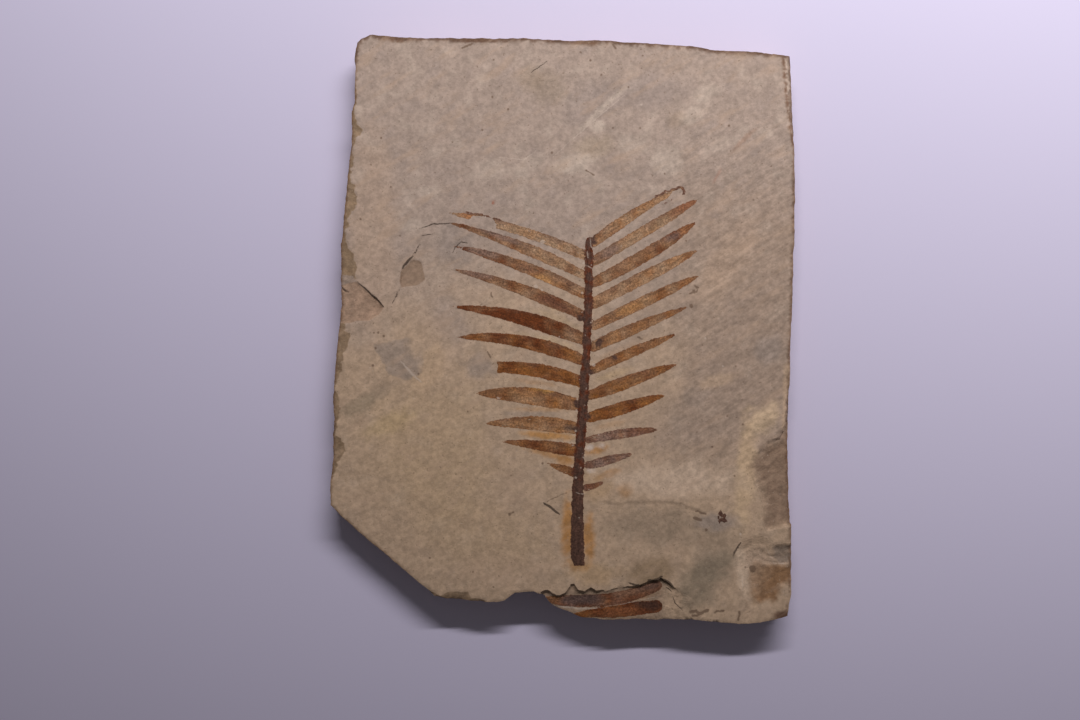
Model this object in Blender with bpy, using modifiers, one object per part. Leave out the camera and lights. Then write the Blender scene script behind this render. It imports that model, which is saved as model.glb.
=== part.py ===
"""Fossil leaf plate: one slab of fine beige mudstone lying on its back.

The slab's broken side wall shows the edges of its beds. The frond is a brown film on the upper
bedding plane, so only its stalk has any height. Metres, +Z up, origin under the middle of the
slab, fossil face up, stalk pointing to -Y. Sizes below are in millimetres.
"""

import bmesh
import bpy
from math import radians
from mathutils import Matrix, Vector, noise

MM = 0.001

# Driving sizes of the slab
WIDTH = 215.0
LENGTH = 272.0
FACE_HEIGHT = 21.6

# Outline of the slab seen from the fossil face, clockwise from the upper left corner
TOP_EDGE = [
    (-95.1, 132.7), (-93.4, 134.3), (-89.4, 136.2), (-75.5, 135.2), (-43.3, 134.7), (-18.4, 134.7),
    (17.8, 133.7), (43.0, 132.0), (62.2, 130.7), (70.6, 129.0), (86.0, 128.5), (105.2, 126.6),
]
RIGHT_EDGE = [
    (105.9, 112.4), (106.9, 81.7), (107.4, 66.8), (107.0, 46.1), (105.9, 7.8), (105.1, -20.2),
    (104.2, -58.5), (105.5, -92.6), (105.9, -107.9), (105.5, -121.7), (103.6, -132.8),
]
LOWER_EDGE = [
    (100.6, -133.6), (91.4, -135.5), (81.4, -136.0), (69.9, -135.1), (58.4, -134.0),
    (43.0, -134.4), (32.3, -134.0), (20.0, -134.4), (8.6, -133.2), (-0.6, -129.4), (-6.1, -126.7),
    (-8.3, -123.2), (-13.5, -121.1), (-21.9, -121.7), (-27.2, -125.2), (-31.1, -126.3),
    (-39.5, -125.6), (-54.1, -124.4), (-59.5, -123.3), (-71.0, -113.3), (-89.3, -98.0),
    (-102.4, -86.1), (-107.4, -81.1),
]
LEFT_EDGE = [
    (-107.4, -70.0), (-106.2, -60.1), (-105.8, -41.7), (-105.8, -24.0), (-104.7, -9.5), (-103.3, 3.2),
    (-102.4, 19.3), (-102.8, 36.2), (-100.8, 57.6), (-97.9, 85.6), (-97.8, 100.1), (-96.4, 104.8),
    (-96.1, 127.7),
]

# The broken side wall, from the floor up: height, and how far the wall stands in from the outline
WALL = [
    (0.0, 2.6), (3.2, 1.5), (3.9, 0.4), (8.0, 0.8), (8.8, 1.9), (12.0, 1.6), (12.8, 0.4),
    (16.4, 0.6), (17.2, 0.1), (19.4, 0.0), (20.0, 0.4), (24.0, 0.3),
]
EDGE_STEP = 8.0
EDGE_ROUGHNESS = 1.0
EDGE_GRAIN = 0.07
LEVEL_GRAIN = 0.13
LEDGE_VARIATION = 1.4
LEDGE_GRAIN = 0.03
BED_DIP = 1.6
BED_DIP_GRAIN = 0.014

# Relief of the bedding plane
RELIEF_STEP = 7.5
RELIEF_DEPTH = 0.35
RELIEF_GRAIN = 0.022
LOWER_FIELD_LINE = [(14.7, -80.3), (35.4, -79.6), (46.9, -79.6), (56.1, -81.1), (67.5, -84.9)]
LOWER_FIELD_DEPTH = 0.4
CUTTER_TOP = 30.0

# Stone lost from the upper face: plan outline, depth at the hinge, slope and its heading
CHIPS = [
    {
        "name": "front_step",
        "outline": [
            (48.1, -150.0), (47.4, -125.1), (47.6, -119.0), (43.6, -115.8), (36.7, -118.1),
            (22.6, -119.9), (15.5, -120.5), (12.9, -119.2), (7.5, -120.5), (5.0, -117.6),
            (0.9, -122.1), (-3.1, -123.0), (-7.1, -120.7), (-10.0, -121.5), (-12.0, -150.0),
        ],
        "hinge": (20.0, -120.0), "depth": 2.4, "slope": 2.0, "heading": -90.0,
    },
    {
        "name": "brown_rind",
        "outline": [
            (-112.0, -69.0), (-105.4, -69.0), (-100.5, -55.5), (-104.8, -47.8), (-103.6, -39.4),
            (-102.9, -33.5), (-105.2, -27.0), (-102.5, -18.0), (-98.2, -3.1), (-100.6, 3.0),
            (-101.4, 14.0), (-99.0, 22.0), (-96.0, 30.0), (-100.0, 40.0), (-98.5, 53.4),
            (-95.5, 62.9), (-98.2, 70.6), (-96.9, 80.0), (-92.5, 91.8), (-96.0, 104.0),
            (-97.0, 112.0), (-112.0, 112.0),
        ],
        "hinge": (-97.0, 50.0), "depth": 0.6, "slope": 9.0, "heading": 180.0,
    },
    {
        "name": "left_chip",
        "outline": [
            (-95.4, 22.2), (-85.0, 12.9), (-82.8, 10.3), (-85.0, 7.0), (-89.6, 4.1), (-95.4, 3.7),
            (-112.0, 2.8), (-112.0, 18.0),
        ],
        "hinge": (-84.0, 10.0), "depth": 1.2, "slope": 1.5, "heading": 180.0,
    },
    {
        "name": "small_chip",
        "outline": [
            (-69.4, 32.6), (-65.6, 31.3), (-63.6, 22.9), (-68.1, 20.3), (-74.6, 19.6), (-75.6, 22.2),
            (-74.6, 27.4),
        ],
        "hinge": (-65.0, 24.0), "depth": 0.3, "slope": 4.0, "heading": 150.0,
    },
    {
        "name": "right_spall",
        "outline": [
            (101.9, -32.6), (101.7, -44.2), (98.7, -48.9), (91.6, -54.6), (87.4, -58.8),
            (87.4, -64.4), (89.5, -72.2), (91.6, -80.7), (90.9, -90.6), (94.5, -94.2),
            (118.0, -91.0), (118.0, -30.0),
        ],
        "hinge": (88.0, -64.0), "depth": 0.4, "slope": 9.5, "heading": 0.0,
    },
    {
        "name": "upper_right_edge",
        "outline": [(101.6, 140.0), (102.1, 125.8), (104.4, 100.1), (106.0, 84.0), (118.0, 84.0),
                    (118.0, 140.0)],
        "hinge": (102.0, 125.0), "depth": 0.5, "slope": 38.0, "heading": 0.0,
    },
    {
        "name": "lower_left_edge",
        "outline": [
            (-63.0, -119.4), (-60.7, -121.3), (-56.5, -123.0), (-53.2, -121.3), (-44.2, -121.3),
            (-42.5, -123.7), (-35.9, -124.8), (-35.0, -135.0), (-66.0, -135.0),
        ],
        "hinge": (-50.0, -121.0), "depth": 0.8, "slope": 22.0, "heading": -90.0,
    },
]

# Shell-shaped hollows: centre, plan radii, depth below the face and how flat the dish is
DISHES = [
    {"name": "corner_hollow", "centre": (94.0, -113.5), "radii": (15.5, 18.5), "depth": 2.3, "turn": -14.0},
    {"name": "corner_pit", "centre": (103.0, -103.8), "radii": (7.0, 5.4), "depth": 3.2, "turn": 0.0},
    {"name": "left_edge_nick", "centre": (-107.5, -66.0), "radii": (4.5, 7.0), "depth": 3.0, "turn": 0.0},
    {"name": "lower_edge_nick", "centre": (73.0, -136.5), "radii": (7.0, 3.2), "depth": 2.0, "turn": 0.0},
]
DISH_FLATNESS = 0.65
DISH_SEGMENTS = 20
DISH_RINGS = 12

# Flakes lost from the rim of the underside: point on the rim, heading outwards, width and slope
UNDER_FLAKES = [
    {"name": "under_flake_right", "point": (101.0, 62.0), "heading": 0.0, "width": 58.0, "slope": 34.0},
    {"name": "under_flake_top", "point": (-30.0, 129.5), "heading": 90.0, "width": 74.0, "slope": 28.0},
    {"name": "under_flake_left", "point": (-99.0, -30.0), "heading": 180.0, "width": 46.0, "slope": 40.0},
    {"name": "under_flake_corner", "point": (-84.0, -93.0), "heading": 221.0, "width": 40.0, "slope": 30.0},
    {"name": "under_flake_front", "point": (64.0, -128.5), "heading": 270.0, "width": 50.0, "slope": 36.0},
]
FLAKE_DEPTH = 20.0
FLAKE_HEIGHT = 14.0

# The stalk: its centre line from the growing end down, and half its width there
STALK = [
    ((12.0, 42.0), 1.9), ((12.1, 30.7), 1.9), ((11.6, 11.6), 1.9), ((11.0, -10.9), 1.8),
    ((9.7, -30.1), 2.2), ((8.1, -50.9), 2.3), ((6.9, -71.6), 2.6), ((6.7, -96.4), 3.1),
    ((6.7, -107.0), 3.3),
]
STALK_TOP = 22.0
STALK_BEVEL = 0.35

STONE_COLOUR = (0.42, 0.32, 0.25, 1.0)
STONE_ROUGHNESS = 0.88
SHARP_ANGLE = radians(28.0)


def clear_scene():
    """Remove every object, so that the script gives the same result in any file."""
    for obj in list(bpy.data.objects):
        bpy.data.objects.remove(obj, do_unlink=True)


def new_collection(name):
    collection = bpy.data.collections.new(name)
    bpy.context.scene.collection.children.link(collection)
    return collection


def mark_as_cutter(obj):
    obj.hide_render = True
    obj.display_type = "WIRE"


def stone_material():
    """Matt beige mudstone."""
    material = bpy.data.materials.new("stone")
    material.use_nodes = True
    shader = material.node_tree.nodes["Principled BSDF"]
    shader.inputs["Base Color"].default_value = STONE_COLOUR
    shader.inputs["Roughness"].default_value = STONE_ROUGHNESS
    shader.inputs["Metallic"].default_value = 0.0
    return material


def split_long_sides(outline, step):
    """Add evenly spaced points wherever two neighbours are further apart than step."""
    points = []
    for index, (x, y) in enumerate(outline):
        start = Vector((x, y))
        end = Vector(outline[(index + 1) % len(outline)])
        count = max(1, round((end - start).length / step))
        points += [start.lerp(end, part / count) for part in range(count)]
    return points


def wave(point, grain, level=0.0):
    """Smooth noise between -1 and 1 at a place on the outline."""
    return noise.noise(Vector((point.x * grain, point.y * grain, level)))


def wall_ring(points, height, inset):
    """The outline at one height: ledges that come and go, a broken edge and gently dipping beds."""
    ring = []
    for index, point in enumerate(points):
        along = points[(index + 1) % len(points)] - points[index - 1]
        inward = Vector((along.y, -along.x)).normalized()
        ledge = inset * (1.0 + LEDGE_VARIATION * wave(point, LEDGE_GRAIN, height * LEVEL_GRAIN))
        broken = EDGE_ROUGHNESS * wave(point, EDGE_GRAIN, height * LEVEL_GRAIN)
        moved = point + inward * (ledge - broken)
        dip = BED_DIP * wave(point, BED_DIP_GRAIN) if height > 0.0 else 0.0
        ring.append(Vector((moved.x, moved.y, height + dip)) * MM)
    return ring


def mesh_object(name, shape, collection):
    """A new object from an edited mesh, which is freed."""
    mesh = bpy.data.meshes.new(name)
    shape.to_mesh(mesh)
    shape.free()
    obj = bpy.data.objects.new(name, mesh)
    collection.objects.link(obj)
    return obj


def extruded_outline(name, points, bottom, top, collection):
    """A closed solid from a flat outline, as a mesh with its caps welded."""
    curve = bpy.data.curves.new(name, "CURVE")
    curve.dimensions = "2D"
    curve.fill_mode = "BOTH"
    curve.extrude = (top - bottom) / 2 * MM
    spline = curve.splines.new("POLY")
    spline.points.add(len(points) - 1)
    for target, point in zip(spline.points, points):
        target.co = (point[0] * MM, point[1] * MM, 0.0, 1.0)
    spline.use_cyclic_u = True
    guide = bpy.data.objects.new(name + "_outline", curve)
    guide.location.z = (bottom + top) / 2 * MM
    collection.objects.link(guide)
    bpy.context.view_layer.update()

    evaluated = guide.evaluated_get(bpy.context.evaluated_depsgraph_get())
    mesh = bpy.data.meshes.new_from_object(evaluated)
    shape = bmesh.new()
    shape.from_mesh(mesh)
    bmesh.ops.remove_doubles(shape, verts=shape.verts, dist=1e-6)
    shape.to_mesh(mesh)
    shape.free()
    obj = bpy.data.objects.new(name, mesh)
    collection.objects.link(obj)
    obj.matrix_world = guide.matrix_world.copy()
    bpy.data.objects.remove(guide, do_unlink=True)
    return obj


def combine(obj, other, operation):
    """Add a Boolean modifier with the given operand."""
    modifier = obj.modifiers.new(other.name, "BOOLEAN")
    modifier.operation = operation
    modifier.solver = "EXACT"
    modifier.object = other
    mark_as_cutter(other)


def make_slab(collection):
    """A loft through the rings of the side wall, closed by a flat underside and a flat top."""
    points = split_long_sides(TOP_EDGE + RIGHT_EDGE + LOWER_EDGE + LEFT_EDGE, EDGE_STEP)
    shape = bmesh.new()
    rings = [[shape.verts.new(place) for place in wall_ring(points, *level)] for level in WALL]
    for lower, upper in zip(rings, rings[1:]):
        for index in range(len(points)):
            shape.faces.new((lower[index - 1], lower[index], upper[index], upper[index - 1]))
    shape.faces.new(rings[0])
    shape.faces.new(rings[-1])
    bmesh.ops.recalc_face_normals(shape, faces=shape.faces[:])
    return mesh_object("fossil_plate", shape, collection)


def lower_field(x, y):
    """1 below the thin ledge under the frond, 0 above it, with a short slope between."""
    line = LOWER_FIELD_LINE
    if x < line[0][0] or x > line[-1][0] or y > 0:
        return 0.0
    for (x0, y0), (x1, y1) in zip(line, line[1:]):
        if x0 <= x <= x1:
            edge = y0 + (y1 - y0) * (x - x0) / (x1 - x0)
            return min(1.0, max(0.0, (edge - y) / RELIEF_STEP))
    return 0.0


def face_height(x, y):
    """Height of the bedding plane: low swells, finer lumps and the sunk field at the lower end."""
    swell = noise.noise(Vector((x * RELIEF_GRAIN, y * RELIEF_GRAIN, 5.0)))
    lumps = noise.noise(Vector((x * RELIEF_GRAIN * 4, y * RELIEF_GRAIN * 4, 9.0)))
    sunk = LOWER_FIELD_DEPTH * lower_field(x, y)
    return FACE_HEIGHT + RELIEF_DEPTH * (swell + 0.45 * lumps) - sunk


def make_relief_cutter(collection):
    """Everything above the uneven bedding plane, as a closed block with that plane as its floor."""
    columns = round((WIDTH + 16.0) / RELIEF_STEP)
    rows = round((LENGTH + 16.0) / RELIEF_STEP)
    shape = bmesh.new()
    bmesh.ops.create_grid(shape, x_segments=columns, y_segments=rows, size=0.5)
    for vert in shape.verts:
        x = vert.co.x * columns * RELIEF_STEP
        y = vert.co.y * rows * RELIEF_STEP
        vert.co = (x * MM, y * MM, face_height(x, y) * MM)
    grown = bmesh.ops.extrude_face_region(shape, geom=shape.faces[:])
    for vert in grown["geom"]:
        if isinstance(vert, bmesh.types.BMVert):
            vert.co.z = CUTTER_TOP * MM
    bmesh.ops.recalc_face_normals(shape, faces=shape.faces[:])
    return mesh_object("relief", shape, collection)


def make_chip_cutter(chip, collection):
    """A block with the chip's outline and a sloping floor, which turns about the hinge."""
    name = chip["name"]
    block = extruded_outline(name, chip["outline"], FACE_HEIGHT - chip["depth"], CUTTER_TOP, collection)
    turn = Matrix.Rotation(radians(chip["heading"]), 4, "Z")
    tilt = turn @ Matrix.Rotation(radians(chip["slope"]), 4, "Y") @ turn.inverted()
    hinge = Vector((chip["hinge"][0] * MM, chip["hinge"][1] * MM, (FACE_HEIGHT - chip["depth"]) * MM))
    about_hinge = Matrix.Translation(hinge) @ tilt @ Matrix.Translation(-hinge)
    block.matrix_world = about_hinge @ block.matrix_world
    return block


def make_dish_cutter(dish, collection):
    """A flat ball whose lower cap cuts a round hollow of the given radii and depth."""
    half_height = dish["depth"] / (1.0 - DISH_FLATNESS)
    lift = half_height * DISH_FLATNESS
    spread = 1.0 / (1.0 - DISH_FLATNESS ** 2) ** 0.5
    shape = bmesh.new()
    bmesh.ops.create_uvsphere(shape, u_segments=DISH_SEGMENTS, v_segments=DISH_RINGS, radius=1.0)
    obj = mesh_object(dish["name"], shape, collection)
    obj.location = (dish["centre"][0] * MM, dish["centre"][1] * MM, (FACE_HEIGHT + lift) * MM)
    obj.scale = (dish["radii"][0] * spread * MM, dish["radii"][1] * spread * MM, half_height * MM)
    obj.rotation_euler.z = radians(dish["turn"])
    return obj


def make_flake_cutter(flake, collection):
    """A box under the slab, turned up about the rim so that it takes a sloping flake away."""
    bpy.ops.mesh.primitive_cube_add(size=1.0)
    obj = bpy.context.object
    obj.name = flake["name"]
    for owner in list(obj.users_collection):
        owner.objects.unlink(obj)
    collection.objects.link(obj)
    size = Matrix.Diagonal((FLAKE_DEPTH * MM, flake["width"] * MM, FLAKE_HEIGHT * MM, 1.0))
    place = Matrix.Translation((FLAKE_DEPTH / 2 * MM, 0.0, -FLAKE_HEIGHT / 2 * MM))
    tilt = Matrix.Rotation(radians(-flake["slope"]), 4, "Y")
    turn = Matrix.Rotation(radians(flake["heading"]), 4, "Z")
    rim = Matrix.Translation((flake["point"][0] * MM, flake["point"][1] * MM, 0.0))
    obj.matrix_world = rim @ turn @ tilt @ place @ size
    return obj


def make_stalk(collection):
    """The leaf's stalk, a low ridge with rounded shoulders along its centre line."""
    left = [(x - half, y) for (x, y), half in STALK]
    right = [(x + half, y) for (x, y), half in STALK]
    points = left[::-1] + right
    stalk = extruded_outline("stalk", points, FACE_HEIGHT - 2.0, STALK_TOP, collection)
    bevel = stalk.modifiers.new("shoulders", "BEVEL")
    bevel.width = STALK_BEVEL * MM
    bevel.segments = 1
    bevel.limit_method = "ANGLE"
    return stalk


def main():
    clear_scene()
    plates = new_collection("fossil_leaf_plate")
    cutters = new_collection("cutters")
    slab = make_slab(plates)
    combine(slab, make_relief_cutter(cutters), "DIFFERENCE")
    for chip in CHIPS:
        combine(slab, make_chip_cutter(chip, cutters), "DIFFERENCE")
    for dish in DISHES:
        combine(slab, make_dish_cutter(dish, cutters), "DIFFERENCE")
    for flake in UNDER_FLAKES:
        combine(slab, make_flake_cutter(flake, cutters), "DIFFERENCE")
    combine(slab, make_stalk(cutters), "UNION")
    slab.data.materials.append(stone_material())
    slab.data.shade_smooth()
    slab.data.set_sharp_from_angle(angle=SHARP_ANGLE)


main()
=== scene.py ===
"""Looks of the fossil leaf plate: one finely broken slab with its leaf film, on a pale floor.

Lengths and places are in millimetres in the part's frame: x to the right and y up as the leaf is
seen, z out of the fossil face. Colours are written as 8-bit values seen under the studio light.
"""

import bpy
import numpy as np
from mathutils import Matrix, Vector, noise
from mathutils.geometry import delaunay_2d_cdt


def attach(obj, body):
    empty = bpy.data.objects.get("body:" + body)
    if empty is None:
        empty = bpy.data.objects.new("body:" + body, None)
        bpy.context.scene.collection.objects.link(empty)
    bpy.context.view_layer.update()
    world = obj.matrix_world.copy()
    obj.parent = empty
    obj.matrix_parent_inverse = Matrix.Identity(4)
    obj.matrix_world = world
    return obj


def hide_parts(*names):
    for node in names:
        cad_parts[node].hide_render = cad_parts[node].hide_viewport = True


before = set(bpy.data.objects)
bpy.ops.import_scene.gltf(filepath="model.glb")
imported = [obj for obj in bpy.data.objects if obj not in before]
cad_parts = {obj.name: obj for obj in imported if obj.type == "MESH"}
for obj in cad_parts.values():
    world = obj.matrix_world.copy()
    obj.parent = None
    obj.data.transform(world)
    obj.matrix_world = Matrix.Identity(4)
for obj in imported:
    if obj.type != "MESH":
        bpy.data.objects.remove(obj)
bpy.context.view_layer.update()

MM = 0.001

# Outline of the slab, clockwise from the upper left corner
OUTLINE = [
    (-95.1, 132.7), (-93.4, 134.3), (-89.4, 136.2), (-86.3, 136.2), (-75.5, 135.2), (-64.8, 134.8),
    (-43.3, 134.7), (-28, 134.5), (-18.4, 134.7), (0.9, 133.5), (17.8, 133.7), (27.7, 133.1), (43, 132),
    (58.4, 131.2), (62.2, 130.7), (70.6, 129), (86, 128.5), (96.7, 127.5), (105.2, 126.6), (105.9, 112.4),
    (106.3, 97.1), (106.9, 81.7), (107.4, 66.8), (107, 46.1), (106.3, 23.1), (105.9, 7.8), (105.1, -7.5),
    (105.1, -20.2), (104.4, -39.3), (104.2, -58.5), (104.8, -81.5), (105.5, -92.6), (105.9, -107.9),
    (105.5, -121.7), (104.4, -129.4), (103.6, -132.8), (100.6, -133.6), (91.4, -135.5), (81.4, -136.2),
    (69.9, -135.1), (58.4, -134), (43, -134.4), (32.3, -134), (20, -134.4), (8.6, -133.2), (-0.6, -129.4),
    (-6.1, -126.7), (-8.3, -123.2), (-13.5, -121.1), (-21.9, -121.7), (-27.2, -125.2), (-31.1, -126.3),
    (-39.5, -125.6), (-54.1, -124.4), (-59.5, -123.3), (-62.5, -120.2), (-71, -113.3), (-79.4, -106),
    (-89.3, -98), (-102.4, -86.1), (-107.4, -81.1), (-107.4, -70), (-106.2, -60.1), (-106.2, -50.9),
    (-105.8, -41.7), (-106.2, -32.5), (-105.8, -24), (-104.7, -9.5), (-103.3, 3.2), (-102.4, 10.9),
    (-102.4, 19.3), (-102.8, 36.2), (-102, 43.8), (-100.8, 57.6), (-99.7, 69.5), (-97.9, 85.6), (-97.6, 94),
    (-97.8, 100.1), (-96.4, 104.8), (-96.1, 120.1), (-96.1, 127.7),
]

# Stone lost from the face, as closed outlines that may run past the slab's edge
FRONT_STEP = [
    (66, -150), (64, -132), (60, -125), (55, -121.5), (51, -119.2), (48.2, -116.9), (46, -115.2),
    (43.4, -116), (40.3, -115.9), (36.7, -118.1), (33.2, -118.5), (26.1, -119.4), (22.6, -120.1),
    (19.9, -121), (15.5, -120.7), (12.9, -119.4), (10.2, -121.3), (7.5, -120.7), (5.3, -117.7), (4, -118.3),
    (0.9, -122.2), (-3.1, -123), (-7.1, -120.7), (-10, -121.5), (-12, -150),
]
BROWN_RIND = [
    (-112, -69), (-106.5, -68), (-103.9, -61.6), (-100.5, -55.5), (-105, -47.8), (-103.8, -39.4),
    (-102.9, -33.5), (-105.5, -27), (-103.8, -22.5), (-102.5, -18), (-100.7, -9.6), (-98, -3.1),
    (-100.9, 1.2), (-101.4, 14), (-99.4, 20), (-95.4, 24), (-95.7, 30.7), (-99.3, 38.5), (-100.9, 44.3),
    (-99.3, 46.9), (-99, 53.4), (-96, 56), (-95.5, 62.9), (-96.6, 67), (-98.7, 70.6), (-96.9, 76.5),
    (-97.2, 83.5), (-95.5, 88.3), (-92.5, 91.8), (-96.9, 100.6), (-94.9, 106.6), (-95.9, 113), (-96.4, 118),
    (-112, 118),
]
LEFT_CHIP = [
    (-95.4, 22.2), (-90, 17.6), (-85, 12.9), (-82.8, 10.3), (-85, 7), (-89.6, 4.1), (-95.4, 3.7),
    (-98.7, 2.8), (-112, 2.8), (-112, 18),
]
SMALL_CHIP = [
    (-69.4, 32.6), (-65.6, 31.3), (-63.6, 22.9), (-68.1, 20.3), (-74.6, 19.6), (-75.6, 22.2), (-74.6, 27.4),
]
RIGHT_SPALL = [
    (103.4, -26), (103, -36), (102.4, -44.2), (99.6, -48.9), (95.2, -50.9), (91.3, -53.9), (88, -57.7),
    (85.4, -61.8), (85.2, -64.6), (87.5, -68.2), (89.6, -73), (91.8, -80), (92.3, -88), (94.5, -94.2),
    (98.7, -93), (112, -88), (112, -26),
]
CORNER_CHIP = [
    (82.1, -98.1), (86.7, -96.6), (91.6, -95.2), (94.5, -95.9), (97.3, -99.1), (103, -98.4), (112, -98.4),
    (112, -118), (101.9, -118.6), (94.5, -125.3), (83.9, -131.7), (84.6, -125.3), (82.4, -118.9),
    (79.2, -111.1), (78.5, -104.8),
]
CORNER_PIT = [(96.6, -99.6), (112, -99.2), (112, -108), (100.8, -108.6), (97.5, -106.6)]
BROWN_CHIP = [
    (85.4, -112.3), (89.8, -107), (104, -108.4), (112, -109), (112, -117), (103, -118), (98.7, -124.7),
    (93, -126.6), (86.3, -126.5),
]
GREY_PATCH = [
    (-87.7, -7.8), (-87.4, -6.7), (-83.4, -6.1), (-81.3, -6.1), (-80.2, -5.1), (-78.1, -4.4), (-71.5, -3.9),
    (-66.9, -6.7), (-64.3, -13.9), (-64.8, -20.5), (-72.3, -23.2), (-80.2, -20.5), (-83.4, -16),
    (-86.1, -11.2),
]
UPPER_RIGHT_EDGE = [
    (102.1, 140), (102.1, 125.8), (102.9, 112.4), (104.4, 100.1), (105.1, 93.3), (106.7, 84.8), (112, 84),
    (112, 140),
]
LOWER_LEFT_EDGE = [
    (-63, -119), (-60.7, -121.3), (-56.5, -123.3), (-53.2, -121.3), (-44.2, -121.3), (-42.5, -123.7),
    (-35.9, -125), (-34, -135), (-66, -135),
]
PALE_SHARD = [(-104, 25.7), (-97.1, 24.7), (-95.2, 22), (-97.8, 16.4), (-99.2, 17.1), (-104, 19.6)]
THIN_FILM_GAP = [
    (-46, -9), (-34.9, -10.2), (-32.4, -14), (-31.2, -20.2), (-35, -24), (-47.1, -24.7), (-52, -16),
]

# Depths of those losses below the face, and the slopes of their floors
STEP_WIDTH = 0.45
FRONT_STEP_DEPTH = 2.1
FRONT_STEP_FADE = (45, 60)
RIND_DEPTH = 0.45
RIND_SLOPE = 0.17
LEFT_CHIP_DEPTH = 1.3
SMALL_CHIP_DEPTH = 0.8
SPALL_SLOPE = 0.17
CORNER_DEPTH = 2.3
CORNER_PIT_DEPTH = 0.9

# Lines where a thin layer ends
FIELD_LEDGE = [
    (67.5, -84.9), (62.2, -83.4), (56.1, -81.1), (46.9, -79.6), (35.4, -79.6), (23.9, -80.7), (20, -79.1),
    (14.7, -80.3),
]
LEFT_STEP = [(-79.2, 11.9), (-77.1, 15.4), (-75.3, 19.6), (-74.6, 28.1), (-69.4, 33.9), (-65.9, 39.8)]

# The stalk: its centre line from the growing end down, and half its width there
STALK = [
    ((12.1, 42.6), 1.7), ((12.1, 30.7), 1.9), ((11.9, 21.6), 1.9), ((11.6, 11.6), 1.9), ((11.3, 0.1), 1.9),
    ((11, -10.9), 1.8), ((10.2, -20.2), 2.1), ((9.7, -30.1), 2.3), ((8.9, -40.9), 2.3), ((8.1, -50.9), 2.3),
    ((7.4, -62.4), 2.5), ((6.9, -71.6), 2.6), ((6.7, -81.5), 2.8), ((6.7, -96.4), 3.2), ((6.8, -105), 3.4),
    ((7.4, -109.2), 2.4),
]
STALK_RISE = 0.42

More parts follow.
